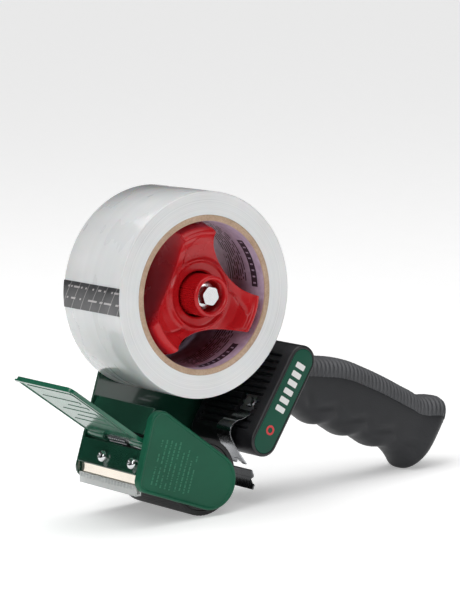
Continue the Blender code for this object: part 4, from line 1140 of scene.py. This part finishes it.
def handle():
    start, end = GRIP_SECTIONS[0][0], GRIP_SECTIONS[-1][0]
    bm = bmesh.new()
    loft(bm, [grip_ring(bm, u, low, high, 41, low, high)
              for u, low, high in along_grip(start, end, 150)])
    make("handle_grip", bm, SOFT_GRIP, "frame", ["grip"], angle=60.0)

    bm = bmesh.new()
    rings = []
    for u, low, high in along_grip(start, end - STRAP_END_SHORT, 470):
        split = max(high - STRAP_DEPTH, low + 0.35 * (high - low))
        rib = 0.5 + 0.5 * math.cos(2 * math.pi * u / RIB_PITCH)
        rings.append(grip_ring(bm, u, split, high, 17, low, high, 0.08 + RIB_HEIGHT * rib ** 0.7))
    loft(bm, rings)
    make("handle_backstrap", bm, RIBBED_GRIP, "frame", ["grip_backstrap"],
         angle=50.0)


# ---- nodes kept from the frame ----
KEPT = (
    (GREEN_STEEL, "near_bracket"),
    (BLACK_PLASTIC, "roller_core"),
    (NYLON, "near_roller_bush far_roller_bush"),
    (BRONZE, "hub_bush"),
    (SPRING, "flap_spring brake_spring"),
    (BRIGHT, "blade_nut_1 blade_nut_2 flap_pin hub_spacer pressure_washer catch_screw handle_tang"),
    (BRIGHT, "cover_screw_1 cover_screw_2"),
    (BRIGHT, "near_frame_screw_1 near_frame_screw_2 near_frame_screw_3"),
)


def kept_nodes():
    for mat, names in KEPT:
        for name in names.split():
            for slot in frame["nodes"][name].material_slots:
                slot.link = "OBJECT"
                slot.material = mat


# ---- camera, floor and light ----
CAMERA_LENS, CAMERA_SENSOR = 175.9, 36.0
CAMERA_FROM_ROLL = (-0.8831, -1.2532)
CAMERA_HEIGHT = 0.3368
CAMERA_RIGHT, CAMERA_UP = (0.80408, -0.5938, -0.02948), (0.11230, 0.1030, 0.98832)
LAMP_AIM = (0.0, 0.0, 0.08)
# name, place, size and power of each area lamp
LAMPS = (("overhead", (-0.3, 0.3, 1.3), (1.0, 1.0), 5.0),
         ("key", (-1.2, -0.5, 0.9), (0.5, 0.9), 6.0),
         ("fill", (0.7, -1.4, 0.6), (0.35, 0.9), 3.0))
SKY_POWER, SKY_ANGLE = 1.5, 70.0
# the world grows brighter from the horizon up
WORLD_HEIGHT, WORLD_STRENGTH = (0.0, 0.75), (0.25, 1.15)


def floor():
    bm = bmesh.new()
    bmesh.ops.create_grid(bm, x_segments=8, y_segments=8, size=6.0)
    mesh = bpy.data.meshes.new("floor")
    bm.to_mesh(mesh)
    bm.free()
    mesh.materials.append(FLOOR)
    linked("floor", mesh)


def camera():
    data = bpy.data.cameras.new("camera")
    data.lens = CAMERA_LENS
    data.sensor_width = CAMERA_SENSOR
    right, up = Vector(CAMERA_RIGHT), Vector(CAMERA_UP)
    turn = Matrix((right, up, right.cross(up).normalized())).transposed().to_4x4()
    spot = Vector((CAMERA_FROM_ROLL[0] + ROLL.x, CAMERA_FROM_ROLL[1] + ROLL.y, CAMERA_HEIGHT))
    obj = linked("camera", data)
    obj.matrix_world = Matrix.Translation(spot) @ turn
    bpy.context.scene.camera = obj


def lights():
    for name, at, size, power in LAMPS:
        lamp = bpy.data.lights.new(name, "AREA")
        lamp.shape = "RECTANGLE"
        lamp.size, lamp.size_y = size
        lamp.energy = power
        obj = linked(name, lamp)
        obj.location = at
        obj.rotation_euler = (Vector(LAMP_AIM) - Vector(at)).to_track_quat("-Z", "Y").to_euler()
    sun = bpy.data.lights.new("sky_panel", "SUN")
    sun.energy = SKY_POWER
    sun.angle = math.radians(SKY_ANGLE)
    linked("sky_panel", sun)


def world():
    made = bpy.data.worlds.new("studio")
    made.use_nodes = True
    tree = made.node_tree
    direction = tree.nodes.new("ShaderNodeTexCoord").outputs["Generated"]
    height = tree.nodes.new("ShaderNodeSeparateXYZ")
    tree.links.new(direction, height.inputs[0])
    rise = tree.nodes.new("ShaderNodeMapRange")
    rise.interpolation_type = "SMOOTHSTEP"
    for key, value in zip(("From Min", "From Max", "To Min", "To Max"),
                          WORLD_HEIGHT + WORLD_STRENGTH):
        rise.inputs[key].default_value = value
    tree.links.new(height.outputs["Z"], rise.inputs["Value"])
    tree.links.new(rise.outputs["Result"], tree.nodes["Background"].inputs["Strength"])
    bpy.context.scene.world = made
    bpy.context.scene.view_settings.view_transform = "Standard"


for build in (roll, hub, knob, bolts, screws, side_plate, cover, cover_marks, cross_pieces, roller,
              housing, badge, catch, guide, blade, flap, handle, kept_nodes, floor, camera, lights,
              world):
    build()
